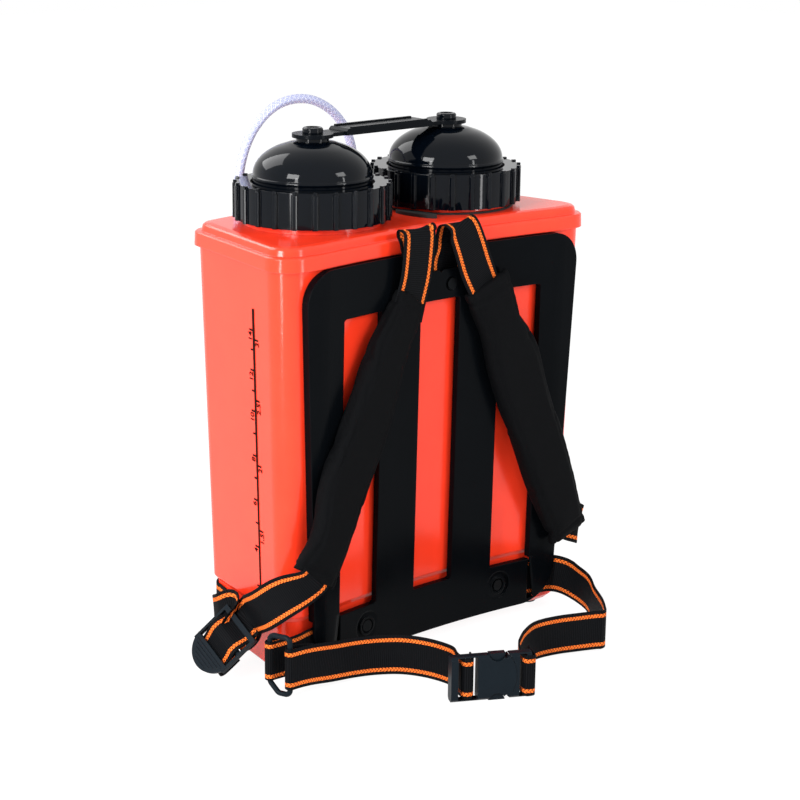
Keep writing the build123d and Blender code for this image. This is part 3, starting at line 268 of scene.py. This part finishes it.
def weaveGroup():  # cross ribs, fine threads and twin chain-stitched lines; UV is metres along and across
    pattern = patterns["webbing"]
    inputs = {"Flow": None, "Rib": pattern["rib"], "Half": pattern["half"]}
    tree, given, out = newGroup("webbingWeave", inputs, ["Stitch", "Rib", "Height"])
    do = partial(calc, tree)
    u, v = put(tree, "ShaderNodeSeparateXYZ", {0: given[0]}).outputs[:2]
    edge = do("SUBTRACT", given["Half"], do("ABSOLUTE", v))
    wave = do("SINE", do("MULTIPLY", do("DIVIDE", u, given["Rib"]), fullTurn))
    yarn = do("SINE", do("MULTIPLY", v, fullTurn / pattern["yarn"]))
    rib = do("MULTIPLY_ADD", wave, 0.5, 0.5)
    threads = do("MULTIPLY_ADD", do("MULTIPLY", wave, yarn), 0.5, 0.5)
    stitches, bulges = [], []
    for middle, shift in pattern["lines"]:
        across = do("DIVIDE", do("SUBTRACT", edge, middle), pattern["lineHalf"])
        inside = band(tree, across, -1.0, 1.0, pattern["lineSoft"])
        lean = do("MULTIPLY_ADD", do("ABSOLUTE", across), pattern["lean"], do("DIVIDE", u, pattern["link"]))
        link = do("FRACT", do("ADD", lean, shift))
        stitches.append(do("MULTIPLY", inside, band(tree, link, *pattern["linkOn"], pattern["linkSoft"])))
        bulges.append(do("MULTIPLY", stitches[-1], do("SINE", do("MULTIPLY", link, math.pi))))
    low = do("MULTIPLY_ADD", threads, pattern["threadHeight"], do("MULTIPLY", rib, pattern["ribHeight"]))
    # painted shade: the cloth colour follows the relief, dark in the grooves between ribs and threads and
    # light on their tops
    paintedWeaveShade = do("MULTIPLY_ADD", threads, pattern["threadPaintedShade"], do("MULTIPLY", rib, pattern["ribPaintedShade"]))
    height = do("MULTIPLY_ADD", do("MAXIMUM", *bulges), pattern["stitchHeight"], low)
    feed(tree, out, {0: do("MAXIMUM", *stitches), 1: paintedWeaveShade, 2: height})
    return tree


def clothGroup():  # plain weave of a pad's cover on object coordinates, warp and weft at right angles
    pattern = patterns["pad"]
    tree, given, out = newGroup("padWeave", {"Vector": None, "Pitch": pattern["pitch"]}, ["Thread"])
    do = partial(calc, tree)
    x, _, z = put(tree, "ShaderNodeSeparateXYZ", {0: given[0]}).outputs
    waves = do("DIVIDE", fullTurn, given[1])
    warp = do("ADD", x, do("MULTIPLY", z, pattern["slope"]))
    weft = do("SUBTRACT", z, do("MULTIPLY", x, pattern["slope"]))
    both = [do("SINE", do("MULTIPLY", way, waves)) for way in (warp, weft)]
    feed(tree, out, {0: do("MULTIPLY_ADD", do("MULTIPLY", *both), 0.5, 0.5)})
    return tree


def braidGroup():  # yarn inside a hose: two sets of crossed helices; UV is metres along, turns round
    pattern = patterns["braid"]
    tree, given, out = newGroup("hoseBraid", {"Flow": None}, ["Yarn"])
    do = partial(calc, tree)
    u, v = put(tree, "ShaderNodeSeparateXYZ", {0: given[0]}).outputs[:2]
    lines = []
    for sign in (1, -1):
        round_ = do("MULTIPLY", v, pattern["yarns"] * sign)
        run = do("MULTIPLY_ADD", u, pattern["yarns"] / pattern["lay"], round_)
        lines.append(band(tree, do("FRACT", run), *pattern["on"], pattern["soft"]))
    feed(tree, out, {0: do("MAXIMUM", *lines)})
    return tree


groups = {
    "grain": grainGroup(), "edge": edgeGroup(), "weave": weaveGroup(), "cloth": clothGroup(),
    "braid": braidGroup(),
}


def useGroup(tree, key, inputs):  # the group is set before its inputs, which come from it
    return put(tree, "ShaderNodeGroup", inputs, node_tree=groups[key]).outputs


# materials
finishes = {
    # colour, colour at worn edges, roughness, its change, grain size, bump depth, corner rounding (in metres)
    "orange_tank": ((0.94, 0.042, 0.014), (0.97, 0.11, 0.08), 0.17, 0.05, 26, 0.00004, 0.0016),
    "black_gloss": ((0.0008, 0.0018, 0.0036), (0.006, 0.006, 0.007), 0.06, 0.02, 30, 0.00001, 0.0009),
    "black_satin": ((0.002, 0.003, 0.0045), (0.008, 0.009, 0.011), 0.26, 0.06, 45, 0.00004, 0.0007),
    "frame_black": ((0.0016, 0.0022, 0.003), (0.007, 0.008, 0.009), 0.22, 0.06, 30, 0.00004, 0.0016),
    "lock_black": ((0.005, 0.0085, 0.012), (0.02, 0.022, 0.026), 0.36, 0.06, 70, 0.00004, 0.0008),
    "foot_rubber": ((0.012, 0.012, 0.012), (0.03, 0.03, 0.03), 0.75, 0.1, 80, 0.00008, 0.0006),
    "seal_rubber": ((0.02, 0.02, 0.02), (0.04, 0.04, 0.04), 0.8, 0.1, 80, 0.00008, 0.0004),
    "grip_rubber": ((0.015, 0.015, 0.016), (0.035, 0.035, 0.036), 0.65, 0.1, 120, 0.0001, 0.0008),
    "white_basket": ((0.72, 0.72, 0.69), (0.8, 0.8, 0.78), 0.45, 0.1, 50, 0.00005, 0.0006),
    "pump_grey": ((0.2, 0.205, 0.21), (0.3, 0.3, 0.31), 0.4, 0.08, 60, 0.00005, 0.0006),
    "nozzle_orange": ((0.9, 0.09, 0.02), (0.95, 0.2, 0.1), 0.3, 0.06, 50, 0.00005, 0.0006),
    "ball_glass": ((0.75, 0.8, 0.8), (0.8, 0.85, 0.85), 0.08, 0.02, 50, 0.00001, 0.0004),
}
moulded = {
    "dark": 0.86, "light": 1.12, "wear": 0.7, "shine": 0.4,
    "shines": {  # where it isn't the usual shine
        "orange_tank": 0.37, "black_gloss": 0.17, "black_satin": 0.06, "frame_black": 0.032,
        "lock_black": 0.07,
    },
}
metals = {  # colour and roughness
    "screw_black": ((0.008, 0.009, 0.01), 0.45),
    "screw_steel": ((0.5, 0.5, 0.51), 0.3),
    "clamp_steel": ((0.56, 0.56, 0.57), 0.28),
    "insert_brass": ((0.7, 0.46, 0.17), 0.32),
    "pump_brass": ((0.68, 0.46, 0.17), 0.26),
}
metal = {"size": 120.0, "fine": 2500.0, "dark": 0.8, "change": 0.1, "depth": 0.00002, "corner": 0.0005}
# the two cloth colours are painted shade in the grooves and painted light on the rib tops; the stitch colours
# are the stitching yarn
webbingLook = {
    "black": (0.0008, 0.0009, 0.0012), "thread": (0.006, 0.0065, 0.0078), "stitch": (1.0, 0.24, 0.04),
    "stitchDark": (0.78, 0.12, 0.016), "rough": 0.6, "shine": 0.04, "mottle": 260.0, "depth": 0.00022,
}
padLook = {
    "low": (0.0007, 0.0008, 0.001), "high": (0.003, 0.0033, 0.004), "worn": (0.0022, 0.0024, 0.003),
    "rough": 0.72, "shine": 0.05, "mottle": 38.0, "creases": 3.0, "depth": 0.00018,
}
# hose colours: its face, a darker rim that is painted shade where the tube turns from the view, and its yarn
hoseLook = {
    "face": (0.5, 0.53, 0.78), "rim": (0.3, 0.32, 0.58), "yarn": (0.68, 0.7, 0.9), "facing": 0.35,
    "alpha": 0.93, "rough": 0.16, "bend": 1.5, "depth": 0.0002,
}
printLook = {
    "dark": (0.008, 0.003, 0.002), "light": (0.016, 0.005, 0.004), "rough": 0.6, "shine": 0.02,
    "mottle": 700.0,
}


def startMaterial(name):
    mat = bpy.data.materials.new(name)
    mat.use_nodes = True
    tree = mat.node_tree
    return mat, tree, tree.nodes["Principled BSDF"], tree.nodes.new("ShaderNodeTexCoord").outputs


def bumpFrom(tree, height, depth, rounding=None):
    inputs = {"Strength": 1.0, "Distance": depth, "Height": height}
    if rounding:
        inputs["Normal"] = put(tree, "ShaderNodeBevel", {"Radius": rounding}, samples=6).outputs[0]
    return put(tree, "ShaderNodeBump", inputs).outputs[0]


def noiseOver(tree, coord, size, **more):
    return put(tree, "ShaderNodeTexNoise", {"Vector": coord["Object"], "Scale": size, **more}).outputs[0]


def times(colour, k):
    return tuple(min(1, c * k) for c in colour)


def mouldedMaterial(name, colour, worn, rough, change, size, depth, corner):
    mat, tree, shader, coord = startMaterial(name)
    grain = useGroup(tree, "grain", {"Vector": coord["Object"], "Size": size})
    edge = useGroup(tree, "edge", {"Reach": corner})
    dark, light = times(colour, moulded["dark"]), times(colour, moulded["light"])
    base = blendColour(tree, grain["Mottle"], dark, light)
    wear = calc(tree, "MULTIPLY", edge[0], calc(tree, "MULTIPLY", grain["Mottle"], moulded["wear"]))
    feed(tree, shader, {
        "Base Color": blendColour(tree, wear, base, worn),
        "Roughness": calc(tree, "MULTIPLY_ADD", grain["Mottle"], change * 2, rough - change),
        "Specular IOR Level": moulded["shines"].get(name, moulded["shine"]),
        "Normal": bumpFrom(tree, grain["Grain"], depth, corner),
    })
    return mat


def metalMaterial(name, colour, rough):
    mat, tree, shader, coord = startMaterial(name)
    inputs = {"Vector": coord["Object"], "Size": metal["size"], "Fine": metal["fine"]}
    grain = useGroup(tree, "grain", inputs)
    change = metal["change"]
    feed(tree, shader, {
        "Base Color": blendColour(tree, grain["Mottle"], times(colour, metal["dark"]), colour),
        "Metallic": 1.0,
        "Roughness": calc(tree, "MULTIPLY_ADD", grain["Grain"], change * 2, rough - change),
        "Normal": bumpFrom(tree, grain["Grain"], metal["depth"], metal["corner"]),
    })
    return mat


def webbingMaterial():
    mat, tree, shader, coord = startMaterial("webbing")
    look = webbingLook
    weave = useGroup(tree, "weave", {"Flow": coord["UV"]})
    noise = noiseOver(tree, coord, look["mottle"], Detail=2.0)
    # painted shade and light on the weave: the first colour fills the grooves, the second the rib tops
    cloth = blendColour(tree, weave["Rib"], look["black"], look["thread"])
    yarn = blendColour(tree, noise, look["stitchDark"], look["stitch"])
    feed(tree, shader, {
        "Base Color": blendColour(tree, weave["Stitch"], cloth, yarn),
        "Roughness": look["rough"],
        "Specular IOR Level": look["shine"],
        "Normal": bumpFrom(tree, weave["Height"], look["depth"]),
    })
    return mat


def padMaterial():
    mat, tree, shader, coord = startMaterial("padCloth")
    look = padLook
    thread = useGroup(tree, "cloth", {"Vector": coord["Object"]})["Thread"]
    noise = noiseOver(tree, coord, look["mottle"], Detail=4.0)
    dark = blendColour(tree, thread, look["low"], look["high"])
    feed(tree, shader, {
        "Base Color": blendColour(tree, noise, dark, look["worn"]),
        "Roughness": look["rough"],
        "Specular IOR Level": look["shine"],
        "Normal": bumpFrom(tree, calc(tree, "MULTIPLY_ADD", noise, look["creases"], thread), look["depth"]),
    })
    return mat


def hoseMaterial():  # clear soft tube with its woven yarn showing; its outline is painted darker by viewing angle, painted shade of the wall seen edge-on
    mat, tree, shader, coord = startMaterial("braidedHose")
    look = hoseLook
    yarn = useGroup(tree, "braid", {"Flow": coord["UV"]})[0]
    # painted shade: the colour darkens from face to rim as the surface turns away from the view
    facing = put(tree, "ShaderNodeLayerWeight", {"Blend": look["facing"]})
    clear = blendColour(tree, facing.outputs["Facing"], look["face"], look["rim"])
    feed(tree, shader, {
        "Base Color": blendColour(tree, yarn, clear, look["yarn"]),
        "Alpha": look["alpha"],
        "Roughness": look["rough"],
        "IOR": look["bend"],
        "Normal": bumpFrom(tree, yarn, look["depth"]),
    })
    return mat


def printMaterial():
    mat, tree, shader, coord = startMaterial("scalePrint")
    look = printLook
    feed(tree, shader, {
        "Base Color": blendColour(tree, noiseOver(tree, coord, look["mottle"]), look["dark"], look["light"]),
        "Roughness": look["rough"],
        "Specular IOR Level": look["shine"],
    })
    return mat


materials = {name: mouldedMaterial(name, *values) for name, values in finishes.items()}
materials.update({name: metalMaterial(name, *values) for name, values in metals.items()})
materials.update(webbing=webbingMaterial(), pad_fabric=padMaterial(), braided_hose=hoseMaterial())
materials["print"] = printMaterial()
slotOf = {s["node"]: s["material_slot"] for s in frame["record"]["subparts"]}
for name, obj in nodes.items():
    for slot in obj.material_slots:
        slot.material = materials["screw_black" if name == "frame_screws" else slotOf[name]]

hoseTube.data.materials.append(materials["braided_hose"])
print("materials made")

# webbing: each strap's sections are read from its solid and carry a rounded woven profile
webbing = {
    "thick": 1.8, "steps": 3, "round": 0.8, "across": 14, "turn": 7,  # millimetres, then counts of points
    "weld": 200,  # points that agree to one part in so many of a millimetre are one
    "slack": 0.01, "apart": 0.5, "tilt": 100, "miss": 0.2,  # what still counts as a section
    "moving": {  # node: the moving body it is threaded on, where the bend starts and where it ends
        "right_belt": ("buckle_plug", (0.060, -0.172, 0.022), (-0.013, -0.197, 0.022)),
        "left_belt_front": ("ring", (-0.112, -0.097, 0.023), (-0.170, -0.0905, 0.028)),
        "left_lower_webbing": ("left_lock", (-0.1846, -0.0892, 0.1021), (-0.197, -0.038, 0.065)),
        "right_lower_webbing": ("right_lock", (0.1917, -0.0724, 0.0808), (0.195, -0.012, 0.065)),
    },
    "straps": {  # node: width in millimetres
        "left_shoulder_webbing": 39, "right_shoulder_webbing": 39, "left_lower_webbing": 39,
        "right_lower_webbing": 39, "base_strap": 39, "left_belt_anchor": 37, "left_belt_front": 39,
        "right_belt": 39,
    },
}


def weldedMesh(mesh):  # points in millimetres without doubles, and the edges between them
    co = readPoints(mesh).astype(float) / mm
    ends = np.zeros(len(mesh.edges) * 2, np.int32)
    mesh.edges.foreach_get("vertices", ends)
    rounded = np.round(co * webbing["weld"])
    _, first, index = np.unique(rounded, axis=0, return_index=True, return_inverse=True)
    edges = np.sort(index.ravel()[ends].reshape(-1, 2), axis=1)
    edges = np.unique(edges[edges[:, 0] != edges[:, 1]], axis=0)
    return co[first], edges


def findSections(points, edges, width):
    # a section is two edges as long as the strap is thick, parallel and one width apart
    length = np.linalg.norm(points[edges[:, 1]] - points[edges[:, 0]], axis=1)
    rungs = edges[np.abs(length - webbing["thick"]) < webbing["slack"]]
    mid = points[rungs].mean(1)
    stand = unit(points[rungs[:, 1]] - points[rungs[:, 0]])
    gap = mid[:, None] - mid[None]
    far = np.linalg.norm(gap, axis=2)
    lean = np.abs(np.einsum("ijk,ik->ij", gap, stand)) + np.abs(np.einsum("ijk,jk->ij", gap, stand))
    miss = np.abs(far - width) + lean + webbing["tilt"] * (1 - np.abs(stand @ stand.T))
    best = miss.argmin(1)
    pairs = [(k, c) for k, c in enumerate(best) if k < c and best[c] == k and miss[k, c] < webbing["miss"]]
    return rungs, mid, pairs


def sectionNeighbours(edges, rungs, pairs):  # sections that share an edge of the solid
    owners = {}
    for k, pair in enumerate(pairs):
        for point in rungs[list(pair)].ravel():
            owners.setdefault(int(point), set()).add(k)
    near = {k: set() for k in range(len(pairs))}
    for a, c in edges:
        together = owners.get(int(a), set()) | owners.get(int(c), set())
        for k in together:
            near[k] |= together
    return near


def strapSections(node, width):  # centre and direction across, section by section from end to end
    points, edges = weldedMesh(nodes[node].data)
    rungs, mid, pairs = findSections(points, edges, width)
    near = sectionNeighbours(edges, rungs, pairs)
    centre = np.array([(mid[a] + mid[c]) / 2 for a, c in pairs])

    def walkFrom(start):  # nearest unvisited neighbour each time, to the strap's end
        walk = [start]
        while ahead := [k for k in near[walk[-1]] if k not in walk]:
            walk.append(min(ahead, key=lambda k: np.linalg.norm(centre[k] - centre[walk[-1]])))
        return walk

    rows = []
    for k in walkFrom(walkFrom(0)[-1]):
        across = unit(mid[pairs[k][0]] - mid[pairs[k][1]])
        if rows and np.linalg.norm(centre[k] * mm - rows[-1][:3]) < webbing["apart"] * mm:
            continue
        if rows and across @ rows[-1][3:] < 0:
            across = -across
        rows.append(np.concatenate([centre[k] * mm, across]))
    return np.array(rows), len(pairs)


def smoothRows(rows, steps):  # Catmull-Rom through the rows, every column alike
    p = np.vstack([2 * rows[0] - rows[1], rows, 2 * rows[-1] - rows[-2]])
    t = (np.arange(steps) / steps)[None, :, None]
    a, b, c, d = (p[k:len(p) - 3 + k, None, :] for k in range(4))
    square, cube = (2 * a - 5 * b + 4 * c - d) * t ** 2, (3 * b - a - 3 * c + d) * t ** 3
    out = 0.5 * (2 * b + (c - a) * t + square + cube)
    return np.vstack([out.reshape(-1, rows.shape[1]), rows[-1:]])


def carryProfile(rows, profile, steps):
    # each profile point (across, out) rides on the smoothed path: centre + across * side + out * normal
    path = smoothRows(rows, steps)
    centre, across = path[:, :3], path[:, 3:]
    ahead = unit(np.gradient(centre, axis=0))
    side = unit(across - ahead * np.sum(across * ahead, 1, keepdims=True))
    normal = np.cross(ahead, side)
    points = centre[:, None] + side[:, None] * profile[None, :, :1] + normal[:, None] * profile[None, :, 1:]
    return points, runAlong(centre)


def stadium(width, thick, corner):  # flat outline with round ends, listed once round
    half, h = width / 2 - corner, thick / 2
    turn = np.linspace(-math.pi / 2, math.pi / 2, webbing["turn"])
    right = np.stack([half + corner * np.cos(turn), h * np.sin(turn)], 1)
    flat = np.linspace(half, -half, webbing["across"])[1:-1]
    top = np.stack([flat, np.full(len(flat), h)], 1)
    return np.vstack([right, top, -right, -top])


def closedTube(name, points, uv):  # skin round the rings, with a fan at each end
    rows, cols = points.shape[:2]
    j = np.arange(cols)
    k = (j + 1) % cols
    first = np.stack([np.full(cols, rows * cols), k, j], 1)
    last = np.stack([np.full(cols, rows * cols + 1), (rows - 1) * cols + j, (rows - 1) * cols + k], 1)
    faces = gridFaces(rows, cols, True).tolist() + first.tolist() + last.tolist()
    skin, map_ = (np.vstack([v.reshape(-1, v.shape[-1]), v[0].mean(0), v[-1].mean(0)]) for v in (points, uv))
    return newMesh(name, skin, faces, map_)


def outward(mesh):  # turns the skin to face out where a route ran the other way
    mesh.calc_loop_triangles()
    tri = np.zeros(len(mesh.loop_triangles) * 3, np.int32)
    mesh.loop_triangles.foreach_get("vertices", tri)
    co = readPoints(mesh)
    a, b, c = (co[tri.reshape(-1, 3)[:, k]] for k in range(3))
    if np.sum(a * np.cross(b, c)) < 0:
        mesh.flip_normals()
        mesh.update()


def makeStrap(node, width):
    rows, found = strapSections(node, width)
    profile = stadium(width, webbing["thick"], webbing["round"]) * mm
    points, along = carryProfile(rows, profile, webbing["steps"])
    obj = closedTube(node.title().replace("_", "") + "Weave", points, flowMap(along, profile[:, 0]))
    outward(obj.data)
    obj.data.materials.append(materials["webbing"])
    if node in webbing["moving"]:
        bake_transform(obj)
    else:
        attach(obj, "tank")
    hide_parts(node)
    print("strap", node, len(rows), "of", found, "sections,", round(float(along[-1]), 3), "m")


for node, width in webbing["straps"].items():
    makeStrap(node, width)
print("webbing made")

# shoulder pads: copies of the solids, welded into one skin and filled by a short cloth simulation
pads = {
    "nodes": ["left_shoulder_pad", "right_shoulder_pad"], "voxel": 0.0034,
    "pressure": 3.5, "tension": 20, "compression": 12, "bending": 0.4, "spare": -0.05, "frames": 22,
    "cap": 0.0055,  # how far the filling may move a point, in metres
    "slices": 36, "edgeSeam": 0.0055, "endSeam": 0.012, "seamWidth": 0.0022, "seamDepth": 0.0012,
}


def settle(obj, modifier):  # takes the modifier's result into the mesh
    graph = bpy.context.evaluated_depsgraph_get()
    mesh = bpy.data.meshes.new_from_object(obj.evaluated_get(graph))
    obj.modifiers.remove(modifier)
    old = obj.data
    obj.data = mesh
    bpy.data.meshes.remove(old)


def puffUp(obj):  # the filling pushes the cover out, and no point moves further than the cap
    start = readPoints(obj.data)
    cloth = obj.modifiers.new("cloth", "CLOTH")
    cloth.settings.use_pressure = True
    cloth.settings.uniform_pressure_force = pads["pressure"]
    cloth.settings.tension_stiffness = pads["tension"]
    cloth.settings.compression_stiffness = pads["compression"]
    cloth.settings.bending_stiffness = pads["bending"]
    cloth.settings.shrink_min = pads["spare"]
    cloth.settings.effector_weights.gravity = 0
    cloth.point_cache.frame_end = pads["frames"]
    for step in range(1, pads["frames"] + 1):
        bpy.context.scene.frame_set(step)
    settle(obj, cloth)
    bpy.context.scene.frame_set(1)
    move = readPoints(obj.data) - start
    length = np.linalg.norm(move, axis=1, keepdims=True)
    writePoints(obj.data, start + move * np.minimum(1, pads["cap"] / np.maximum(length, 1e-9)))


def fillPad(obj):
    remesh = obj.modifiers.new("remesh", "REMESH")
    remesh.mode = "VOXEL"
    remesh.voxel_size = pads["voxel"]
    settle(obj, remesh)
    puffUp(obj)
    smooth = obj.modifiers.new("smooth", "SUBSURF")
    smooth.levels = smooth.render_levels = 1
    settle(obj, smooth)
    shadeSmooth(obj.data)


def padPlaces(co):  # metres from each point to the pad's nearer long edge, and to its nearer end
    centre = co.mean(0)
    axis = np.linalg.svd(co - centre, full_matrices=False)[2][0]
    along = (co - centre) @ axis
    stops = np.linspace(along.min(), along.max(), pads["slices"] + 1)
    which = np.clip(np.digitize(along, stops) - 1, 0, pads["slices"] - 1)
    middles, sides, halves = [], [], []
    for k in range(pads["slices"]):
        part = co[which == k]
        flat = part - part.mean(0)
        flat = flat - np.outer(flat @ axis, axis)
        side = np.linalg.svd(flat, full_matrices=False)[2][0]
        side = side if not sides or side @ sides[-1] > 0 else -side
        reach = flat @ side
        middles.append(part.mean(0) + side * (reach.max() + reach.min()) / 2)
        sides.append(side)
        halves.append((reach.max() - reach.min()) / 2)
    at = (stops[:-1] + stops[1:]) / 2
    columns = [[np.interp(along, at, column) for column in np.array(v).T] for v in (middles, sides)]
    middle, side = (np.stack(column, 1) for column in columns)
    across = np.abs(np.sum((co - middle) * unit(side), 1))
    return np.interp(along, at, halves) - across, np.minimum(along - along.min(), along.max() - along)


def sewSeams(mesh):  # the cover dips along a line of stitches inside its edges and across its ends
    co = readPoints(mesh).astype(float)
    edge, end = padPlaces(co)
    seams = ((edge, pads["edgeSeam"]), (end, pads["endSeam"]))
    dips = [np.exp(-((far - seam) / pads["seamWidth"]) ** 2) for far, seam in seams]
    normals = np.zeros(len(co) * 3, np.float32)
    mesh.vertex_normals.foreach_get("vector", normals)
    writePoints(mesh, co - normals.reshape(-1, 3) * np.maximum(*dips)[:, None] * pads["seamDepth"])


for node in pads["nodes"]:
    pad = place(node.title().replace("_", "") + "Cover", nodes[node].data.copy())
    fillPad(pad)
    sewSeams(pad.data)
    pad.data.materials.clear()
    pad.data.materials.append(materials["pad_fabric"])
    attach(pad, "tank")
    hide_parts(node)
print("pads made")

# litre scale printed on the tank's left side, found on the solid by looking along X
scale = {  # millimetres
    "low": 84, "high": 346, "place": -22.5, "wide": 4.2, "narrow": 2.8, "rungs": 24,
    "thin": 1.8, "tick": 6.5, "short": 0.7,  # the last is a minor tick's share of a tick
    "digits": 9.0, "bold": 0.16, "column": 6.24, "drop": 1.6, "stand": 0.35, "outside": -400,
    "majors": {326: "14", 289: "12", 251: "10", 209: "8", 167: "6", 122: "4"},
    "minors": [308, 270, 230, 188, 145, 84],
    "others": {318: "3", 262: "2.5", 201: "2", 139: "1.5"},  # the second column, on the line's other side
}


def wallPoint(y, z):
    start = Vector((scale["outside"] * mm, y * mm, z * mm))
    _, spot, normal, _ = nodes["tank_tub"].ray_cast(start, Vector((1, 0, 0)))
    return spot + normal * scale["stand"] * mm


def printed(obj):
    obj.data.materials.append(materials["print"])
    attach(obj, "tank")


def ticks(heights, y0, y1):
    t = scale["thin"] / 2
    return [[(y1, z - t), (y0, z - t), (y0, z + t), (y1, z + t)] for z in heights]


def makeLines():
    y, line, tick = scale["place"], scale["narrow"] / 2, scale["tick"]
    rungs = np.linspace(scale["low"], scale["high"], scale["rungs"])
    halves = np.linspace(scale["narrow"], scale["wide"], scale["rungs"]) / 2
    patches = [[(y + a, z0), (y - a, z0), (y - b, z1), (y + b, z1)]
               for z0, z1, a, b in zip(rungs[:-1], rungs[1:], halves[:-1], halves[1:])]
    patches += ticks(scale["majors"], y + line, y + line + tick)
    patches += ticks(scale["minors"], y + line, y + line + tick * scale["short"])
    patches += ticks(scale["others"], y - line - tick, y - line)
    points = np.array([wallPoint(*corner) for patch in patches for corner in patch])
    printed(newMesh("scaleLines", points, np.arange(len(points)).reshape(-1, 4).tolist(), smooth=False))


def makeDigits(name, word, y, z):  # lettering turned to read up the wall
    text = bpy.data.curves.new(name, "FONT")
    text.body = word
    text.size = scale["digits"]
    text.offset = scale["bold"]
    text.align_x, text.align_y = "RIGHT", "CENTER"
    carrier = place(name, text)
    mesh = bpy.data.meshes.new_from_object(carrier)
    bpy.data.objects.remove(carrier)
    flat = readPoints(mesh).astype(float)
    writePoints(mesh, np.array([wallPoint(y + up, z - scale["drop"] + right) for right, up, _ in flat]))
    printed(place(name, mesh))


makeLines()
for z, word in scale["majors"].items():
    makeDigits("litre" + word, word, scale["place"] + scale["column"], z)
for z, word in scale["others"].items():
    makeDigits("other" + word.replace(".", "p"), word, scale["place"] - scale["column"], z)
print("scale made")

# floor and light
studio = {
    "floor": (0.93, 0.93, 0.93), "rough": 0.9, "size": 6.0, "glow": 1.08, "whiten": 0.86, "world": 0.62,
    "lamps": [  # place, width, height, power
        ((-2.7, -0.5, 1.5), 1.1, 1.1, 80), ((0.9, -2.6, 1.9), 0.9, 0.9, 32), ((-0.7, 2.3, 2.3), 1.8, 1.8, 46),
        ((-1.2, -0.4, 0.4), 0.12, 0.75, 5.5), ((0.4, -1.25, 0.4), 0.08, 0.75, 3),  # strips that draw lines
    ],
    "aim": (0, 0, 0.24),
}


def seenRays(tree):  # 1 for rays from the camera and for what they meet by reflection or through glass
    rays = tree.nodes.new("ShaderNodeLightPath").outputs
    bent = calc(tree, "MAXIMUM", rays["Is Glossy Ray"], rays["Is Transmission Ray"])
    return calc(tree, "MAXIMUM", rays["Is Camera Ray"], bent)


def makeWorld():  # white where it is seen, dimmer as a light
    world = bpy.data.worlds.new("studio")
    bpy.context.scene.world = world
    world.use_nodes = True
    tree = world.node_tree
    plain = tree.nodes["Background"]
    feed(tree, plain, {0: (1, 1, 1, 1), 1: studio["world"]})
    bright = put(tree, "ShaderNodeBackground", {"Color": (1, 1, 1, 1), "Strength": 1.0})
    mix = put(tree, "ShaderNodeMixShader", {0: seenRays(tree), 1: plain.outputs[0], 2: bright.outputs[0]})
    feed(tree, tree.nodes["World Output"], {0: mix.outputs[0]})


def makeFloor():
    mat, tree, shader, _ = startMaterial("floor")
    feed(tree, shader, {
        "Base Color": (*studio["floor"], 1), "Roughness": studio["rough"], "Specular IOR Level": 0.0,
    })
    glow = put(tree, "ShaderNodeEmission", {"Color": (1, 1, 1, 1), "Strength": studio["glow"]})
    share = calc(tree, "MULTIPLY", seenRays(tree), studio["whiten"])
    mix = put(tree, "ShaderNodeMixShader", {0: share, 1: shader.outputs[0], 2: glow.outputs[0]})
    feed(tree, tree.nodes["Material Output"], {0: mix.outputs[0]})
    s = studio["size"]
    corners = np.array([(-s, -s, 0), (s, -s, 0), (s, s, 0), (-s, s, 0)])
    floor = newMesh("floor", corners, [[0, 1, 2, 3]], smooth=False)
    floor.data.materials.append(mat)


def makeLamps():
    for k, (spot, wide, tall, power) in enumerate(studio["lamps"]):
        data = bpy.data.lights.new("lamp%d" % k, "AREA")
        data.shape = "RECTANGLE"
        data.size = wide
        data.size_y = tall
        data.energy = power
        lamp = place("lamp%d" % k, data)
        lamp.location = spot
        lamp.rotation_euler = (Vector(studio["aim"]) - Vector(spot)).to_track_quat("-Z", "Y").to_euler()


makeWorld()
makeFloor()
makeLamps()
bpy.context.scene.view_settings.view_transform = "Standard"
print("studio made")

bpy.context.view_layer.update()
